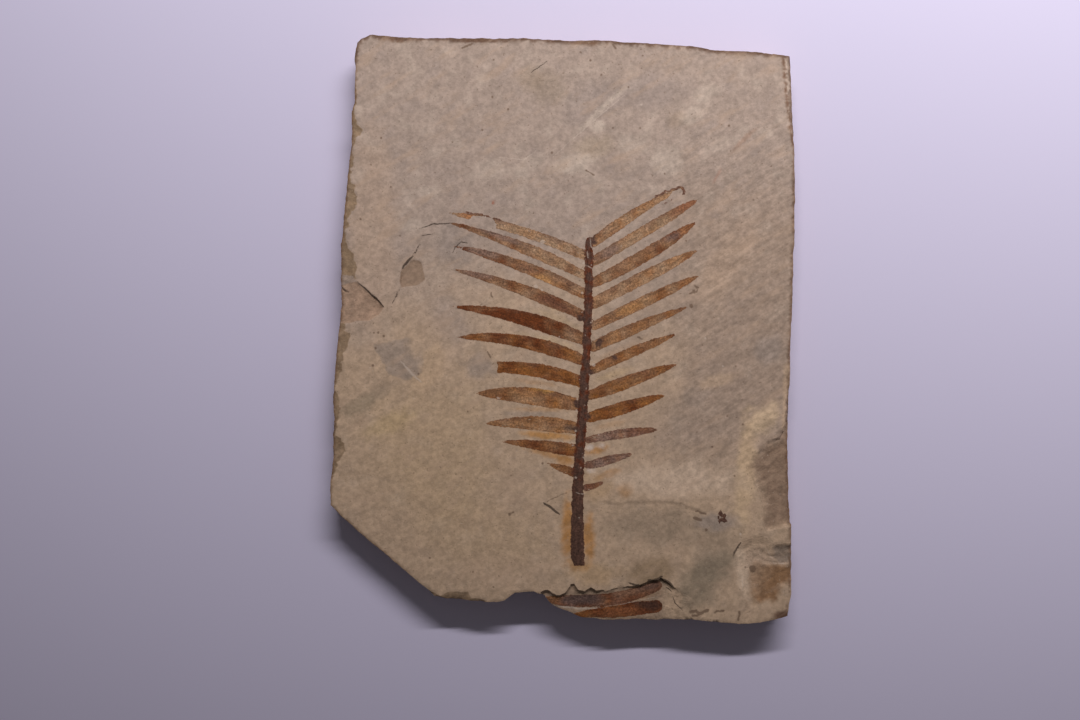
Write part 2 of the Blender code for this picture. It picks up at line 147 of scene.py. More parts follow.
# Leaflets: base, middle and tip of the centre line, each as x and y; half width at the base and at
# each quarter of the length; how dark the film is at base, middle and tip; how ochre and how worn
LEAFLETS = {
    "left_1": ((10.1, 34.4, -20.3, 45.8, -50.9, 53.6), (2.4, 2.4, 2.2, 1.9), (0.1, -0.15, 0.1), 0.05, 0.5),
    "left_2": ((10.1, 25, -19.9, 38.5, -51, 49), (1.8, 2.9, 2.6, 1.6), (0.2, 0.3, 0.7), 0.15, 0.25),
    "left_3": ((9, 16.8, -19.5, 29.5, -47.9, 38), (2.5, 2.9, 2.6, 2), (0.3, 0.5, 0.8), 0.25, 0.25),
    "left_4": ((8.4, 6.9, -20.6, 19.1, -49.1, 27.4), (2.2, 3.1, 2.6, 1.7), (0.7, 0.45, 0.65), 0.25, 0.2),
    "left_5": ((8.7, -4.2, -20.2, 5.6, -49.2, 10.4), (2.9, 3.8, 3.2, 2), (0.55, 1.15, 0.95), 0.35, 0.06),
    "left_6": ((8.2, -13.8, -19.4, -5.5, -46.8, -3.6), (2.6, 3.3, 3, 2.2), (0.4, 0.85, 0.5), 0.75, 0.06),
    "left_7": ((8, -24, -18.5, -18, -45, -18.2), (2.7, 3.4, 3, 2.7), (0.45, 0.5, 0.6), 1, 0.08),
    "left_8": ((7.3, -34.9, -15.6, -30.8, -38.4, -29.5), (2.8, 4, 4, 3), (0.3, 0.15, 0.5), 0.6, 0.2),
    "left_9": ((5.8, -45.5, -13.9, -43.3, -34.4, -43.5), (2.8, 3.6, 3.2, 2.2), (0.3, 0.2, 0.25), 0.55, 0.42),
    "left_10": ((5, -55.8, -11.5, -53.5, -27.5, -51.8), (3, 2.8, 2.3, 1.5), (0.7, 0.6, 0.35), 0.65, 0.2),
    "left_11": ((5.6, -66.3, -1.4, -63.8, -8.6, -61.4), (2, 2, 1.5, 0.8), (0.4, 0.45, 0.2), 0.55, 0.38),
    "right_1": ((14.4, 40.4, 34.8, 54.6, 54.8, 65.4), (2.3, 2.7, 2.2, 1.5), (0.25, -0.1, 0.15), 0.35, 0.4),
    "right_2": ((14.6, 31.8, 37.9, 45.6, 61.4, 59.6), (2.4, 2.7, 2.6, 2.4), (0.35, -0.15, 0.4), 0.25, 0.25),
    "right_3": ((14.2, 21.7, 37.6, 34.1, 60.2, 48.8), (2.4, 3, 3.1, 2.7), (0.5, 0.4, 0.85), 0.3, 0.15),
    "right_4": ((14.5, 12.2, 37.9, 24.4, 61.1, 36.1), (2.7, 3, 3.1, 2.5), (0.1, -0.05, 0.4), 0.3, 0.2),
    "right_5": ((14.5, 1.7, 38, 13.1, 61.4, 24.1), (2.1, 2.7, 2.8, 2.3), (0.1, 0.1, 0.45), 0.45, 0.22),
    "right_6": ((13.9, -8, 35.3, 1.5, 56.5, 10), (2.4, 2.9, 2.6, 1.8), (0.25, 0.15, 0.45), 0.5, 0.2),
    "right_7": ((13.4, -18.8, 32.3, -10.3, 51.4, -2.5), (2.1, 2.5, 2.4, 1.8), (0.4, 0.2, 0.35), 0.6, 0.2),
    "right_8": ((13.1, -30.2, 32.3, -23.3, 51.6, -16.4), (2.4, 3.2, 2.9, 2.1), (0.4, 0.25, 0.7), 0.7, 0.12),
    "right_9": ((12.8, -40.6, 29.8, -35.6, 46.4, -30.6), (2.5, 3.1, 2.9, 2.1), (0.5, 0.55, 0.55), 0.95, 0.08),
    "right_10": ((11.8, -51, 27.4, -48.2, 43.1, -46.3), (1.6, 2.1, 2.2, 1.9), (0.3, 0.2, 0.9), 0.1, 0.5),
    "right_11": ((11.9, -62.7, 21.8, -60.2, 32.3, -57.4), (1.9, 2.3, 2.2, 1.3), (0.35, 0.2, 0.4), 0.1, 0.45),
    "right_12": ((10.8, -72.9, 14.8, -72.1, 19, -70.1), (1.8, 1.5, 1.2, 0.8), (0.6, 0.45, 0.5), 0.2, 0.35),
    "lower_1": ((43.6, -118.6, 20, -125.1, -9, -124.8), (2.4, 3, 3, 2.8), (0.5, 0.6, 0.5), 0.3, 0.08),
    "lower_2": ((43.4, -128.2, 25.5, -130.2, 4.5, -132.4), (2.9, 3.3, 3, 1.9), (1, 0.75, 0.4), 0.85, 0.1),
}
LILAC_LEAFLETS = ("right_10", "right_11", "right_12", "lower_1")
LOWER_LEAFLETS = ("lower_1", "lower_2")
BROKEN_LEAFLET = "left_7"
BROKEN_END = -31
WIDTH_KNOTS = (0, 0.25, 0.5, 0.75, 0.92, 1)
LEAFLET_SAMPLES = 28
TIP_REACH = 1.045

# Soft patches of colour in the film: centre's x and y, half length, half width, turn in degrees,
# colour and strength
DUSK = (112, 88, 77)
DEEP_BROWN = (96, 60, 44)
WARM_BROWN = (124, 86, 60)
GOLD = (160, 116, 74)
FILM_PATCHES = [
    (9, -124.6, 11, 3.4, 4, (82, 63, 57), 1), (33, -120.6, 12, 3, 14, (116, 84, 66), 0.85),
    (-5.5, -124.5, 4.5, 3, 0, WARM_BROWN, 0.8), (40, -127.8, 8, 3, 0, (68, 44, 35), 0.95),
    (26, -130.2, 12, 2.4, 5, (110, 66, 42), 0.85), (-9, 22.9, 6.5, 2.3, -22, GOLD, 0.85),
    (-3, 11.6, 10, 2.6, -27, DEEP_BROWN, 0.85), (-40, 25.6, 9, 2.4, -10, DUSK, 0.7),
    (-30, 43.6, 14, 1.7, -22, DUSK, 0.8), (-37, 35.6, 10, 2.2, -14, DUSK, 0.8),
    (-18, 29.2, 7, 2.2, -22, DEEP_BROWN, 0.45), (55.5, 55.9, 8, 2.8, 30, (117, 79, 57), 0.8),
    (21, 35.6, 7, 2.8, 30, DUSK, 0.85), (57.5, 46.6, 5, 2.4, 32, (132, 88, 58), 0.7),
    (50.5, 42.6, 4, 2, 30, (100, 80, 72), 0.7), (31, 9.8, 9, 2.2, 24, GOLD, 0.45),
    (-9, -27.6, 6, 1.3, -8, (162, 118, 66), 0.9), (-33, -28.8, 6.5, 2.6, 0, (114, 78, 52), 0.85),
    (-3, -41.6, 6, 2, -5, (148, 104, 68), 0.7), (3.4, -45.4, 3, 1.7, 0, (84, 66, 58), 0.7),
    (42, -46.6, 3, 2, 10, (100, 70, 54), 0.8), (18.5, -24.2, 6, 2.4, 16, (118, 80, 54), 0.75),
    (-44.5, 52.6, 4.5, 1.8, -10, (140, 92, 58), 0.8), (40.5, -118.8, 7, 2, 14, (88, 64, 54), 0.85),
    (58, 57.6, 6, 2.6, 30, (132, 84, 58), 0.7), (48, -31.2, 6, 2.4, 12, (136, 88, 50), 0.6),
]

# Dark clots where leaflets join the stalk, and the loose fragment on the right: centre and radius
CLOTS = [
    (7.8, 4.9, 1.3), (9, 4.6, 1.2), (16.3, -6.3, 1.5), (13.6, 41.4, 1.5), (14.6, 43, 0.7), (6.9, -34.2, 1.5),
    (12.7, -20, 1.1), (11.4, -40.3, 1.2), (23.9, -13, 0.9), (6, -46.2, 0.9), (73, -85, 1.3),
    (75.2, -85.6, 1.2), (74.6, -88.3, 1.4), (72.4, -88.8, 1.2), (74.1, -90.8, 0.7), (71.9, -87, 0.8),
]

# Cracks and dark lines on the face, some of them painted shadow along the steps where stone is lost: points,
# and half the width in the middle
CRACKS_AND_STEP_SHADOWS = [
    ([(-95.4, 22.2), (-90, 17.6), (-85, 12.9), (-82.8, 10.3)], 0.45), ([(-102.5, 19.6), (-99.2, 17.1)], 0.5),
    ([(-79.2, 11.9), (-77.1, 15.4), (-75.3, 19.6)], 0.25),
    ([(-74.6, 28.1), (-71.5, 31.6), (-69.4, 33.9)], 0.55),
    ([(-69.4, 33.9), (-67.8, 36.6), (-65.9, 39.8)], 0.3), ([(-9, -80.2), (-5.3, -82.6), (-1.6, -85.6)], 0.6),
    ([(-65.6, 46.9), (-60.2, 48.6), (-51, 49.1)], 0.32), ([(-57.5, 50.3), (-54.1, 53.2), (-51, 53.8)], 0.14),
    ([(-65.2, 43.5), (-60.2, 44.2)], 0.2), ([(-51, 35.4), (-49.8, 38), (-47.2, 40.4), (-44.1, 40)], 0.25),
    ([(82.4, -98.4), (80.3, -101.5), (78.5, -104.8)], 0.5), ([(-15, 118.6), (-7.4, 123.9)], 0.2),
    ([(30.5, -117), (33.2, -118.1), (36.7, -118.4)], 0.5),
    ([(39.2, -115.8), (42, -116.1), (44, -115.4), (45.8, -114.1)], 0.7),
    ([(45.1, -115), (48.2, -116.8), (51.3, -119)], 0.75), ([(47.8, -119.4), (50.4, -121.6)], 0.25),
    ([(50.6, -123.4), (51.8, -126.5), (55.3, -130)], 0.22),
]
# Soft brown smudges: points and half width
SMUDGES = [
    ([(58.9, -130.6), (61.5, -130.2), (63.6, -131.4), (66.8, -129.6)], 0.8),
    ([(60, -132.4), (63, -132)], 0.6), ([(70.2, -131.2), (71.6, -130.3), (74.6, -130.2)], 0.5),
    ([(81.4, -130.8), (81.4, -134.5)], 0.6), ([(-33.5, 17.2), (-32.4, 14.8)], 0.4),
    ([(-34.9, -10.2), (-33.2, -12.6)], 0.4), ([(-46.6, 130.4), (-44.5, 131.2), (-42, 132.2)], 0.5),
    ([(60.8, 20.6), (62.4, 19.4), (61.6, 17.2), (58.9, 16.6)], 0.45), ([(61.5, -83.9), (66.5, -85.5)], 0.5),
    ([(60.5, -87), (63.5, -88.2)], 0.8), ([(10.6, 73.6), (12.4, 72.6), (14.4, 71.6)], 0.35),
    ([(23.2, 131.6), (24.2, 130)], 0.5), ([(-7.3, -79.6), (-3.2, -77.4), (1.8, -75.7)], 0.2),
    ([(24, 5), (28, 6.4)], 0.3), ([(34, -3), (36.5, -4.2)], 0.4),
]
# Film lines left where the rest of a leaflet is gone, and those gaps, which are patches too
FILM_LINES = [
    ([(43, 61.4), (50.7, 64.7), (54.4, 65.8), (56.1, 64.4), (55.8, 62.3)], 0.55),
    ([(47, 63), (47.3, 64.6)], 0.4), ([(46, 57.8), (51, 60.2), (55.5, 62.6)], 0.2),
    ([(-45, 54.2), (-38, 53.3), (-29, 50.6)], 0.35),
]
FILM_GAPS = [(52.6, 62.2, 5.2, 2.3, 26), (-36.5, 49.6, 6.8, 2.9, -13)]
# Pale scratches and cracks: points and half width
PALE_LINES = [
    ([(12.5, 41.9), (13.1, 38.1), (15, 37.3)], 0.35), ([(11.3, 36.1), (11.5, 32.8)], 0.45),
    ([(10.8, 29.6), (12.5, 28.8), (13.6, 28)], 0.35), ([(8, -75.6), (10.4, -75.9)], 0.3),
    ([(6, -75.4), (8, -75.9)], 0.3), ([(-75, -14.6), (-69.1, -21.3), (-64.8, -24.8)], 0.6),
    ([(4, 87.6), (17, 99), (28.7, 108.6)], 0.35), ([(-5, 79.4), (4, 87.6)], 0.25),
    ([(-30, 79.6), (-18, 78.6), (-12, 83)], 0.3), ([(-6.5, -127.6), (8, -129.4), (17, -128.9)], 0.55),
    ([(17, -129), (31.4, -126.2), (44, -123.8)], 0.25),
    ([(94.2, -101.5), (98, -108.2), (104, -108.6)], 0.35), ([(83, -113.5), (83.4, -121)], 0.35),
]
# Pale grains along the stalk and in the film: centre and radius
PALE_MARKS = [
    (13.2, 29.8, 0.4), (9.6, 30.6, 0.7), (8.9, 17, 0.7), (8.8, 8.1, 0.4), (10.4, -2.6, 0.4),
    (14.1, -16.4, 1), (13.4, -14.4, 0.5), (10.8, -27.2, 0.5), (6.7, -32.1, 0.6), (6.3, -37.6, 0.7),
    (5.9, -46.9, 0.7), (4.6, -53.6, 0.5), (8.3, -63.9, 0.4), (5.9, -68.4, 0.7), (-30, -31.8, 0.8),
    (-28.6, -31.3, 0.5), (16.6, -48.6, 0.5), (18.3, -53.6, 0.6), (11.6, -54.4, 0.9), (13, -54.8, 0.8),
    (11.7, -64.6, 0.9), (12.6, -66, 0.7), (27, 38.6, 0.5), (24.6, 37.2, 0.5), (34.5, 41.8, 0.4),
    (-12.4, 19.8, 1.1), (-9.6, 18.4, 0.6), (-9.4, 40.6, 1.2), (-36, 52, 0.5), (-7.6, 38, 0.5),
    (20.4, -46.4, 0.4), (-62, 63, 0.6), (21, 92, 0.4), (82.2, -94.7, 0.7), (36.2, 104, 0.5),
    (-89.3, -17.6, 0.6), (74, -17, 0.7), (66, -4, 0.6), (-1.6, -3.4, 0.4), (-38.2, 96.2, 0.5),
    (49, 16.8, 0.4), (12, -73.9, 0.4), (9.6, -59, 0.6), (8.9, -57.4, 0.4), (12.4, -20.8, 0.6),
    (12.9, 3.2, 0.4), (10.2, -35, 0.5), (7.4, -87, 0.4),
]
# Small dark specks: centre and radius
SPECKS = [
    (17.8, 117.8, 0.6), (36.9, 126.6, 0.5), (23.1, 93.2, 0.5), (35.7, 93.2, 0.5), (76.7, 94.1, 0.6),
    (77.5, 82.5, 0.5), (-51, 86.7, 0.5), (-84, 88.5, 0.6), (-25.3, 101.7, 0.5), (-32.6, 107.5, 0.6),
    (-37.2, 92.2, 0.5), (-5.1, 81.7, 0.6), (-79.5, 65.9, 0.4), (-88.8, 76.2, 0.4), (-93.6, 51.1, 0.4),
    (-75.2, 43.4, 0.5), (60.6, 17.8, 0.9), (59.3, 10.9, 1), (69.1, -54.3, 0.5), (76, -40.1, 0.5),
    (-61.5, -105.6, 0.5), (-32.2, -119, 0.4), (-41.6, -112.1, 0.4), (-9.4, -61.9, 0.6), (-24.6, -85.3, 0.8),
    (-23.2, -84.6, 0.6), (84.6, -110, 0.6), (88, -110.8, 1.7), (-86.6, -8.8, 0.6), (-87.9, -16.6, 0.7),
    (-85.5, -1.4, 0.6), (-82.9, -3, 0.5), (-87.4, -1.5, 0.5), (-66.7, -20.5, 0.5), (12.7, 124.4, 0.6),
    (8.1, 128.2, 0.5), (-32, 124.6, 0.5), (57, 41, 0.5), (30.2, 112, 0.5), (47, 72, 0.4), (83.3, -43.8, 0.5),
    (79.3, -67.7, 0.4), (79.9, -16.9, 0.5), (-80.2, -105.7, 0.6), (66.3, -92.7, 0.7), (81, 46, 0.5),
    (-57, 20, 0.4), (-44, -38, 0.5), (-25, -62, 0.4), (88, 60, 0.5),
]

# Soft patches of colour on the stone, in the same order; a few are painted shade in a hollow and painted
# light on a chip's slope
GREY = (137, 121, 114)
PALE = (170, 152, 139)
CREAM = (172, 145, 122)
GRAIN_PALE = (180, 162, 149)
OCHRE = (157, 107, 53)
YELLOW = (163, 136, 104)
WARM = (165, 138, 118)
COOL = (132, 117, 109)
DUSKY = (138, 118, 101)
# Painted shade of a shallow hollow left of the corner chip
HOLLOW_SHADE = (118, 104, 89)
EDGE_BROWN = (104, 76, 58)
BROWN = (124, 100, 82)
PATCHES = [
    (12, 104, 15, 10, 30, GREY, 0.5), (37, 110, 22, 9, 5, GREY, 0.55),
    (-6.5, 112.5, 8, 9, 30, (134, 116, 102), 0.6), (14, 84, 11, 6, 15, (146, 127, 111), 0.7),
    (46.9, 78, 9, 7, 0, PALE, 0.65), (16.2, 94, 3.8, 3, 0, PALE, 0.9), (66, 109.4, 8, 4, 20, PALE, 0.5),
    (17, 101, 19, 1.5, 43, PALE, 0.75), (84, 88, 9, 1.2, 44, (136, 111, 97), 0.8),
    (71, 70.3, 4.5, 0.8, 63, (144, 112, 98), 0.7), (53, 97, 6, 4, 20, DUSKY, 0.4),
    (5, 77, 11, 5, 10, PALE, 0.75), (60, 99, 7, 4, 30, PALE, 0.55), (32, 86, 7, 5, 0, PALE, 0.45),
    (-16, 76, 10, 4, 30, PALE, 0.4), (-62, -55, 30, 34, 30, YELLOW, 0.3), (-88, 45, 12, 50, 0, WARM, 0.4),
    (-70, 48, 8, 3, 10, PALE, 0.5), (-40, -95, 36, 18, -15, YELLOW, 0.2),
    (-6, -7, 17, 4, -15, (172, 146, 118), 0.6), (-2, 4, 13, 3, -25, YELLOW, 0.4),
    (-85, -29, 9, 3.5, 30, DUSKY, 0.7), (-94, -35, 10, 4, 25, (131, 114, 96), 0.6),
    (-80, -43.5, 14, 5, 25, (168, 142, 109), 0.6), (-61.7, -19, 6, 13, -25, (168, 140, 114), 0.55),
    (-50, 38, 9, 11, 30, COOL, 0.65), (-38, -17, 8, 6, 0, COOL, 0.6), (-52, 2, 9, 12, 20, GREY, 0.35),
    (-7, -49, 14, 1.9, -4, (164, 120, 76), 1), (-6, -57.6, 12, 1.8, -14, OCHRE, 0.6),
    (1, -60.5, 5, 2.6, 0, OCHRE, 0.6), (2.4, -93, 3.4, 17, 0, OCHRE, 0.8),
    (11.8, -97, 3.4, 12.5, 0, OCHRE, 0.75), (15.5, -55.5, 5.5, 2.2, 15, OCHRE, 0.7),
    (20.5, -67, 6, 2, 20, OCHRE, 0.75), (29, -74, 4.5, 3.6, 30, OCHRE, 0.45),
    (-10, -36.8, 14, 1.3, 0, OCHRE, 0.35), (-12, -24.6, 12, 1.3, -8, OCHRE, 0.25),
    (84.5, -66, 5, 30, -4, (176, 149, 122), 0.9), (93.5, -41, 5.5, 10, -40, (178, 152, 126), 0.85),
    (52, -70, 32, 9, 0, (180, 156, 137), 0.7), (44, -91, 28, 10, -6, DUSKY, 0.85),
    # Painted shade in a shallow hollow left of the corner chip: both patches on the next line and the first
    # on the one after
    (70, -104, 13, 16, -10, DUSKY, 0.6), (66, -113.5, 17, 8, 35, HOLLOW_SHADE, 0.75),
    (61, -124, 12, 6, 10, HOLLOW_SHADE, 0.5), (101.8, -132.2, 5.5, 2.2, 10, (86, 62, 50), 1),
    (-38, 133.8, 14, 1.4, 0, (92, 68, 54), 1), (9.5, 132.6, 9, 1.4, -3, EDGE_BROWN, 0.9),
    (-76, 134.4, 9, 1.8, 0, EDGE_BROWN, 0.9), (78, 128.4, 8, 1.7, -4, EDGE_BROWN, 0.6),
    (7.5, -109.6, 5.5, 2.6, 0, OCHRE, 0.6), (-5, 10, 6, 1.5, -27, YELLOW, 0.4),
    (26, -10, 14, 2, 24, OCHRE, 0.18), (24, -20.5, 10, 1.8, 18, YELLOW, 0.5),
    (22, -44, 9, 1.6, 12, OCHRE, 0.2), (-16, -39, 12, 1.6, 0, COOL, 0.5), (71, -89, 12, 4.5, 0, COOL, 0.7),
    (50.5, -126, 5, 8, 0, CREAM, 0.9), (31, -125.4, 14, 1.8, 14, (160, 118, 84), 0.9),
    (-33, 74, 8, 5, 0, PALE, 0.45), (-62, 63, 6, 3, -10, PALE, 0.45),
    (12.8, -54.6, 2.4, 1.5, 10, (188, 170, 160), 0.8), (17.5, -53.8, 2.2, 1.2, 15, (188, 170, 160), 0.6),
    (13, -65.4, 2.6, 1.4, 10, (188, 170, 160), 0.7), (-32.2, 58.8, 0.9, 0.9, 0, (140, 82, 62), 1),
    # The second patch on the next line is painted light on the corner chip's slope that faces the light
    (-15, 116, 7, 6, 30, DUSKY, 0.45), (83.4, -112, 3.6, 13, 8, (182, 158, 138), 0.9),
    (30, 5, 26, 20, 30, GREY, 0.1), (52, -50, 14, 6, 20, GREY, 0.15), (62, -31, 9, 5, 25, COOL, 0.3),
    (70.6, -24, 9, 3.5, 15, CREAM, 0.6), (95, -9, 9, 7, 25, COOL, 0.6), (75, 30, 9, 22, -35, WARM, 0.4),
    (-28, -112, 22, 9, 0, WARM, 0.3), (40, -112, 14, 7, 10, (124, 102, 80), 0.7),
    (14, -113, 12, 6, 0, (160, 130, 98), 0.5), (15, -72, 9, 8, 0, (158, 126, 92), 0.4),
]

STONE_TOP = (148, 129, 118)
STONE_RIGHT = (143, 122, 108)
STONE_LOW = (162, 137, 116)
RIND = (122, 99, 78)
RIND_LIGHT = (148, 126, 106)
FRESH_BREAK = (144, 117, 99)
LOWER_BED = (128, 106, 90)
# Broken stone of the right spall, darkened with painted shade of its sloping floor
SPALL_AND_SHADE = (125, 102, 86)
CORNER = (125, 94, 69)
# Pale break inside the corner chip, partly painted light on its slope that faces the light
PALE_CHIP_AND_LIGHT = (160, 136, 118)
PATCH_GREY = (139, 121, 109)
CORNER_GREY = (110, 97, 89)
STRIP = (180, 160, 144)
EDGE_DARK = (88, 66, 53)
SPECK = (97, 77, 63)
WALL_PALE = (150, 125, 103)
WALL_BROWN = (112, 86, 64)
UNDERSIDE = (144, 123, 107)
FILM_LIGHT = (141, 112, 88)
FILM_DARK = (88, 44, 19)
FILM_OCHRE = (131, 83, 41)
FILM_LILAC = (120, 95, 84)
FILM_MARGIN = (96, 68, 56)
STALK_DARK = (74, 51, 42)
STALK_RED = (84, 39, 19)
# Dark of the cracks and of the painted shadow lines along the steps
CRACK_AND_SHADOW_DARK = (58, 46, 39)

# How bright a white surface looks in the middle of the plate under the studio light
KEY_LEVEL = 0.636

# Mesh spacing, the grids' spans in x and y, and the height of the face
EDGE_STEP = 1.15
FACE_STEP = 1.12
FACE_SPAN = ((-108.5, 108.5), (-137.5, 137.5))
STALK_STEP = 0.6
STALK_SPAN = ((3, 17), (-108, 44))
UNDER_STEP = 3.4
UNDER_SPAN = ((-108, 108), (-137, 137))
GRID_JITTER = 0.22
ROW_STEP = 0.6
ROW_OFFSET = 0.28
ROW_GAP = 0.34
WALL_ROWS = 18
INWARD_SMOOTHING = 40
SHARP_ANGLE = 48
FACE_LEVEL = 21.6
FAR = 40.0
NOISE_TABLE = 256


def linear(colour):
    """Linear reflectance of a colour given as it looks under the studio light."""
    value = np.array(colour, dtype=float) / 255
    high = ((value + 0.055) / 1.055) ** 2.4
    return np.where(value <= 0.04045, value / 12.92, high) / KEY_LEVEL


def rise(value, start, end):
    """Smooth step from 0 at start to 1 at end."""
    part = np.clip((value - start) / (end - start), 0, 1)
    return part * part * (3 - 2 * part)


def lumps(x, y, size, seed):
    """Smooth noise between about -1 and 1, with lumps size millimetres across."""
    angles = np.random.default_rng(seed).uniform(0, 2 * np.pi, (NOISE_TABLE, NOISE_TABLE))
    column = np.floor(x / size)
    row = np.floor(y / size)
    u = x / size - column
    v = y / size - row

    def corner(right, up):
        angle = angles[(column + right).astype(int) % NOISE_TABLE, (row + up).astype(int) % NOISE_TABLE]
        return np.cos(angle) * (u - right) + np.sin(angle) * (v - up)

    ease_u = u * u * u * (u * (u * 6 - 15) + 10)
    ease_v = v * v * v * (v * (v * 6 - 15) + 10)
    low = corner(0, 0) + ease_u * (corner(1, 0) - corner(0, 0))
    high = corner(0, 1) + ease_u * (corner(1, 1) - corner(0, 1))
    return 1.5 * (low + ease_v * (high - low))


def layered(x, y, size, seed, layers=3):
    """Noise of several sizes, each half as large and half as strong as the last."""
    return sum(lumps(x, y, size / 2 ** layer, seed + layer) / 2 ** layer for layer in range(layers))


def resample(points, step, closed):
    """Evenly spaced points along each side of an outline or a line."""
    ends = points[1:] + points[:1] if closed else points[1:]
    result = []
    for start, end in zip(points, ends):
        start = np.array(start, dtype=float)
        way = end - start
        count = max(1, round(np.hypot(*way) / step))
        result += [start + way * part / count for part in range(count)]
    if not closed:
        result.append(np.array(points[-1], dtype=float))
    return np.array(result)


def roughened(points, step, amount, size, seed, closed):
    """A resampled outline or line whose points wander by up to amount."""
    line = resample(points, step, closed)
    x, y = line.T
    return line + amount * np.stack([layered(x, y, size, seed), layered(x, y, size, seed + 50)], 1)


def line_distance(x, y, line):
    """Distance to a line, +1 to its left and -1 to its right, and how far along it, from 0 to 1."""
    nearest = np.full(x.shape, FAR)
    side = np.ones(x.shape)
    along = np.zeros(x.shape)
    lengths = np.hypot(*np.diff(line, axis=0).T)
    walked = 0
    for start, end, length in zip(line, line[1:], lengths):
        dx, dy = end - start
        part = np.clip(((x - start[0]) * dx + (y - start[1]) * dy) / length ** 2, 0, 1)
        distance = np.hypot(x - start[0] - part * dx, y - start[1] - part * dy)
        nearer = distance < nearest
        turn = np.sign(dx * (y - start[1]) - dy * (x - start[0]))
        nearest = np.where(nearer, distance, nearest)
        side = np.where(nearer, turn, side)
        along = np.where(nearer, (walked + part * length) / lengths.sum(), along)
        walked += length
    return nearest, side, along


def depth_inside(x, y, outline):
    """How far each point is inside a closed outline, negative outside it."""
    result = np.full(x.shape, -FAR)
    low = outline.min(0) - 8
    high = outline.max(0) + 8
    near = (x > low[0]) & (x < high[0]) & (y > low[1]) & (y < high[1])
    px, py = x[near], y[near]
    closed = np.vstack([outline, outline[:1]])
    inside = np.zeros(px.shape, dtype=bool)
    for (x0, y0), (x1, y1) in zip(closed, closed[1:]):
        if y0 != y1:
            inside ^= ((y0 > py) != (y1 > py)) & (px < (x1 - x0) * (py - y0) / (y1 - y0) + x0)
    distance = line_distance(px, py, closed)[0]
    result[near] = np.where(inside, distance, -distance)
    return result


def turned(x, y, degrees):
    """Coordinates along a direction and across it."""
    angle = np.radians(degrees)
    return x * np.cos(angle) + y * np.sin(angle), y * np.cos(angle) - x * np.sin(angle)


def patch_strength(x, y, centre_x, centre_y, half_length, half_width, turn):
    """1 in the middle of a soft round patch and 0 well outside it, with an uneven rim."""
    along, across = turned(x - centre_x, y - centre_y, turn)
    reach = np.hypot(along / half_length, across / half_width)
    size = max(4, min(half_length, half_width))
    return 1 - rise(reach + 0.25 * layered(x, y, size, 300), 0.45, 1.25)


# The outlines and lines of the losses, made rough once for shape, colour and mesh alike: points,
# their spacing, how far they wander, over what size, and the noise's seed
OPEN_LINES = ("field", "left_step")
ROUGH = {
    name: roughened(points, step, amount, size, seed, name not in OPEN_LINES)
    for name, points, step, amount, size, seed in (
        ("outline", OUTLINE, EDGE_STEP, 0.28, 5, 11),
        ("front", FRONT_STEP, 1, 0.55, 3, 21),
        ("rind", BROWN_RIND, 0.8, 1, 2.6, 31),
        ("left_chip", LEFT_CHIP, 1.5, 0.35, 5, 41),
        ("small_chip", SMALL_CHIP, 1.5, 0.4, 4, 51),
        ("spall", RIGHT_SPALL, 1.5, 0.7, 6, 61),
        ("corner", CORNER_CHIP, 1.5, 0.5, 6, 71),
        ("pit", CORNER_PIT, 1.5, 0.4, 4, 81),
        ("brown_chip", BROWN_CHIP, 1.2, 0.5, 4, 85),
        ("grey_patch", GREY_PATCH, 1, 0.9, 3.5, 88),
        ("upper_right", UPPER_RIGHT_EDGE, 1.5, 0.35, 4, 91),
        ("lower_left", LOWER_LEFT_EDGE, 1.5, 0.4, 4, 101),
        ("shard", PALE_SHARD, 1.5, 0.3, 4, 111),
        ("film_gap", THIN_FILM_GAP, 2, 0.8, 6, 121),
        ("field", FIELD_LEDGE, 1.5, 0.5, 6, 131),
        ("left_step", LEFT_STEP, 1.2, 0.35, 4, 141),
    )
}

# Thin layers that end at a line: which side is lower, how much, the part of the line over which
# they run out, and the distances from it between which they fade
THIN_LAYERS = [("field", 1, 0.4, 0.12, 6, 24), ("left_step", -1, 0.5, 0.2, 3, 14)]
# Lines drawn on the face: how far they wander, the noise's seed and how thick their ends are
LINE_KINDS = {
    "crack_and_shadow": (CRACKS_AND_STEP_SHADOWS, 0.25, 800, 0.35),
    "pale": (PALE_LINES, 0.3, 840, 0.3),
    "smudge": (SMUDGES, 0.5, 850, 1),
    "film": (FILM_LINES, 0.2, 820, 1),
}
# Beside each drawn line runs a row of mesh points, this far outside it
LINE_MARGINS = {"crack_and_shadow": 0.15, "pale": 0.15, "smudge": 0.2}
# Relief of the bedding plane: height, size, the noise's seed and layers
RELIEF = [(0.3, 55, 510, 1), (0.14, 22, 511, 1), (0.16, 9, 512, 1), (0.08, 4.5, 513, 2),
          (0.035, 2.2, 515, 2)]
# Slanting grooves: height, stretch along them, width and the noise's seed
GROOVES = [(0.24, 3.5, 3, 500), (0.18, 3, 7.5, 501), (0.1, 2, 1.7, 503)]


def rough_lines(kind):
    """The drawn lines of one kind, made rough, each with half its width."""
    lines, wander, seed = LINE_KINDS[kind][:3]
    return [(roughened(points, 1, wander, 2.5, seed, False), half) for points, half in lines]


def line_field(x, y, kind):
    """How far inside a drawn line of one kind each point is."""
    ends = LINE_KINDS[kind][-1]
    field = np.full(x.shape, -FAR)
    for line, half in rough_lines(kind):
        distance, side, along = line_distance(x, y, line)
        taper = np.sqrt(np.clip(4 * along * (1 - along), 0, 1))
        field = np.maximum(field, half * (ends + (1 - ends) * taper) - distance)
    return field


def stalk_place(x, y):
    """How far inside the stalk each point is, and its place across and along it."""
    centres = np.array([centre for centre, half in STALK])
    halves = np.array([half for centre, half in STALK])
    half = np.interp(-y, -centres[:, 1], halves)
    across = x - np.interp(-y, -centres[:, 1], centres[:, 0])
    ends = np.minimum(centres[0, 1] - y, y - centres[-1, 1])
    return np.minimum(half - np.abs(across), ends), across / half, -y


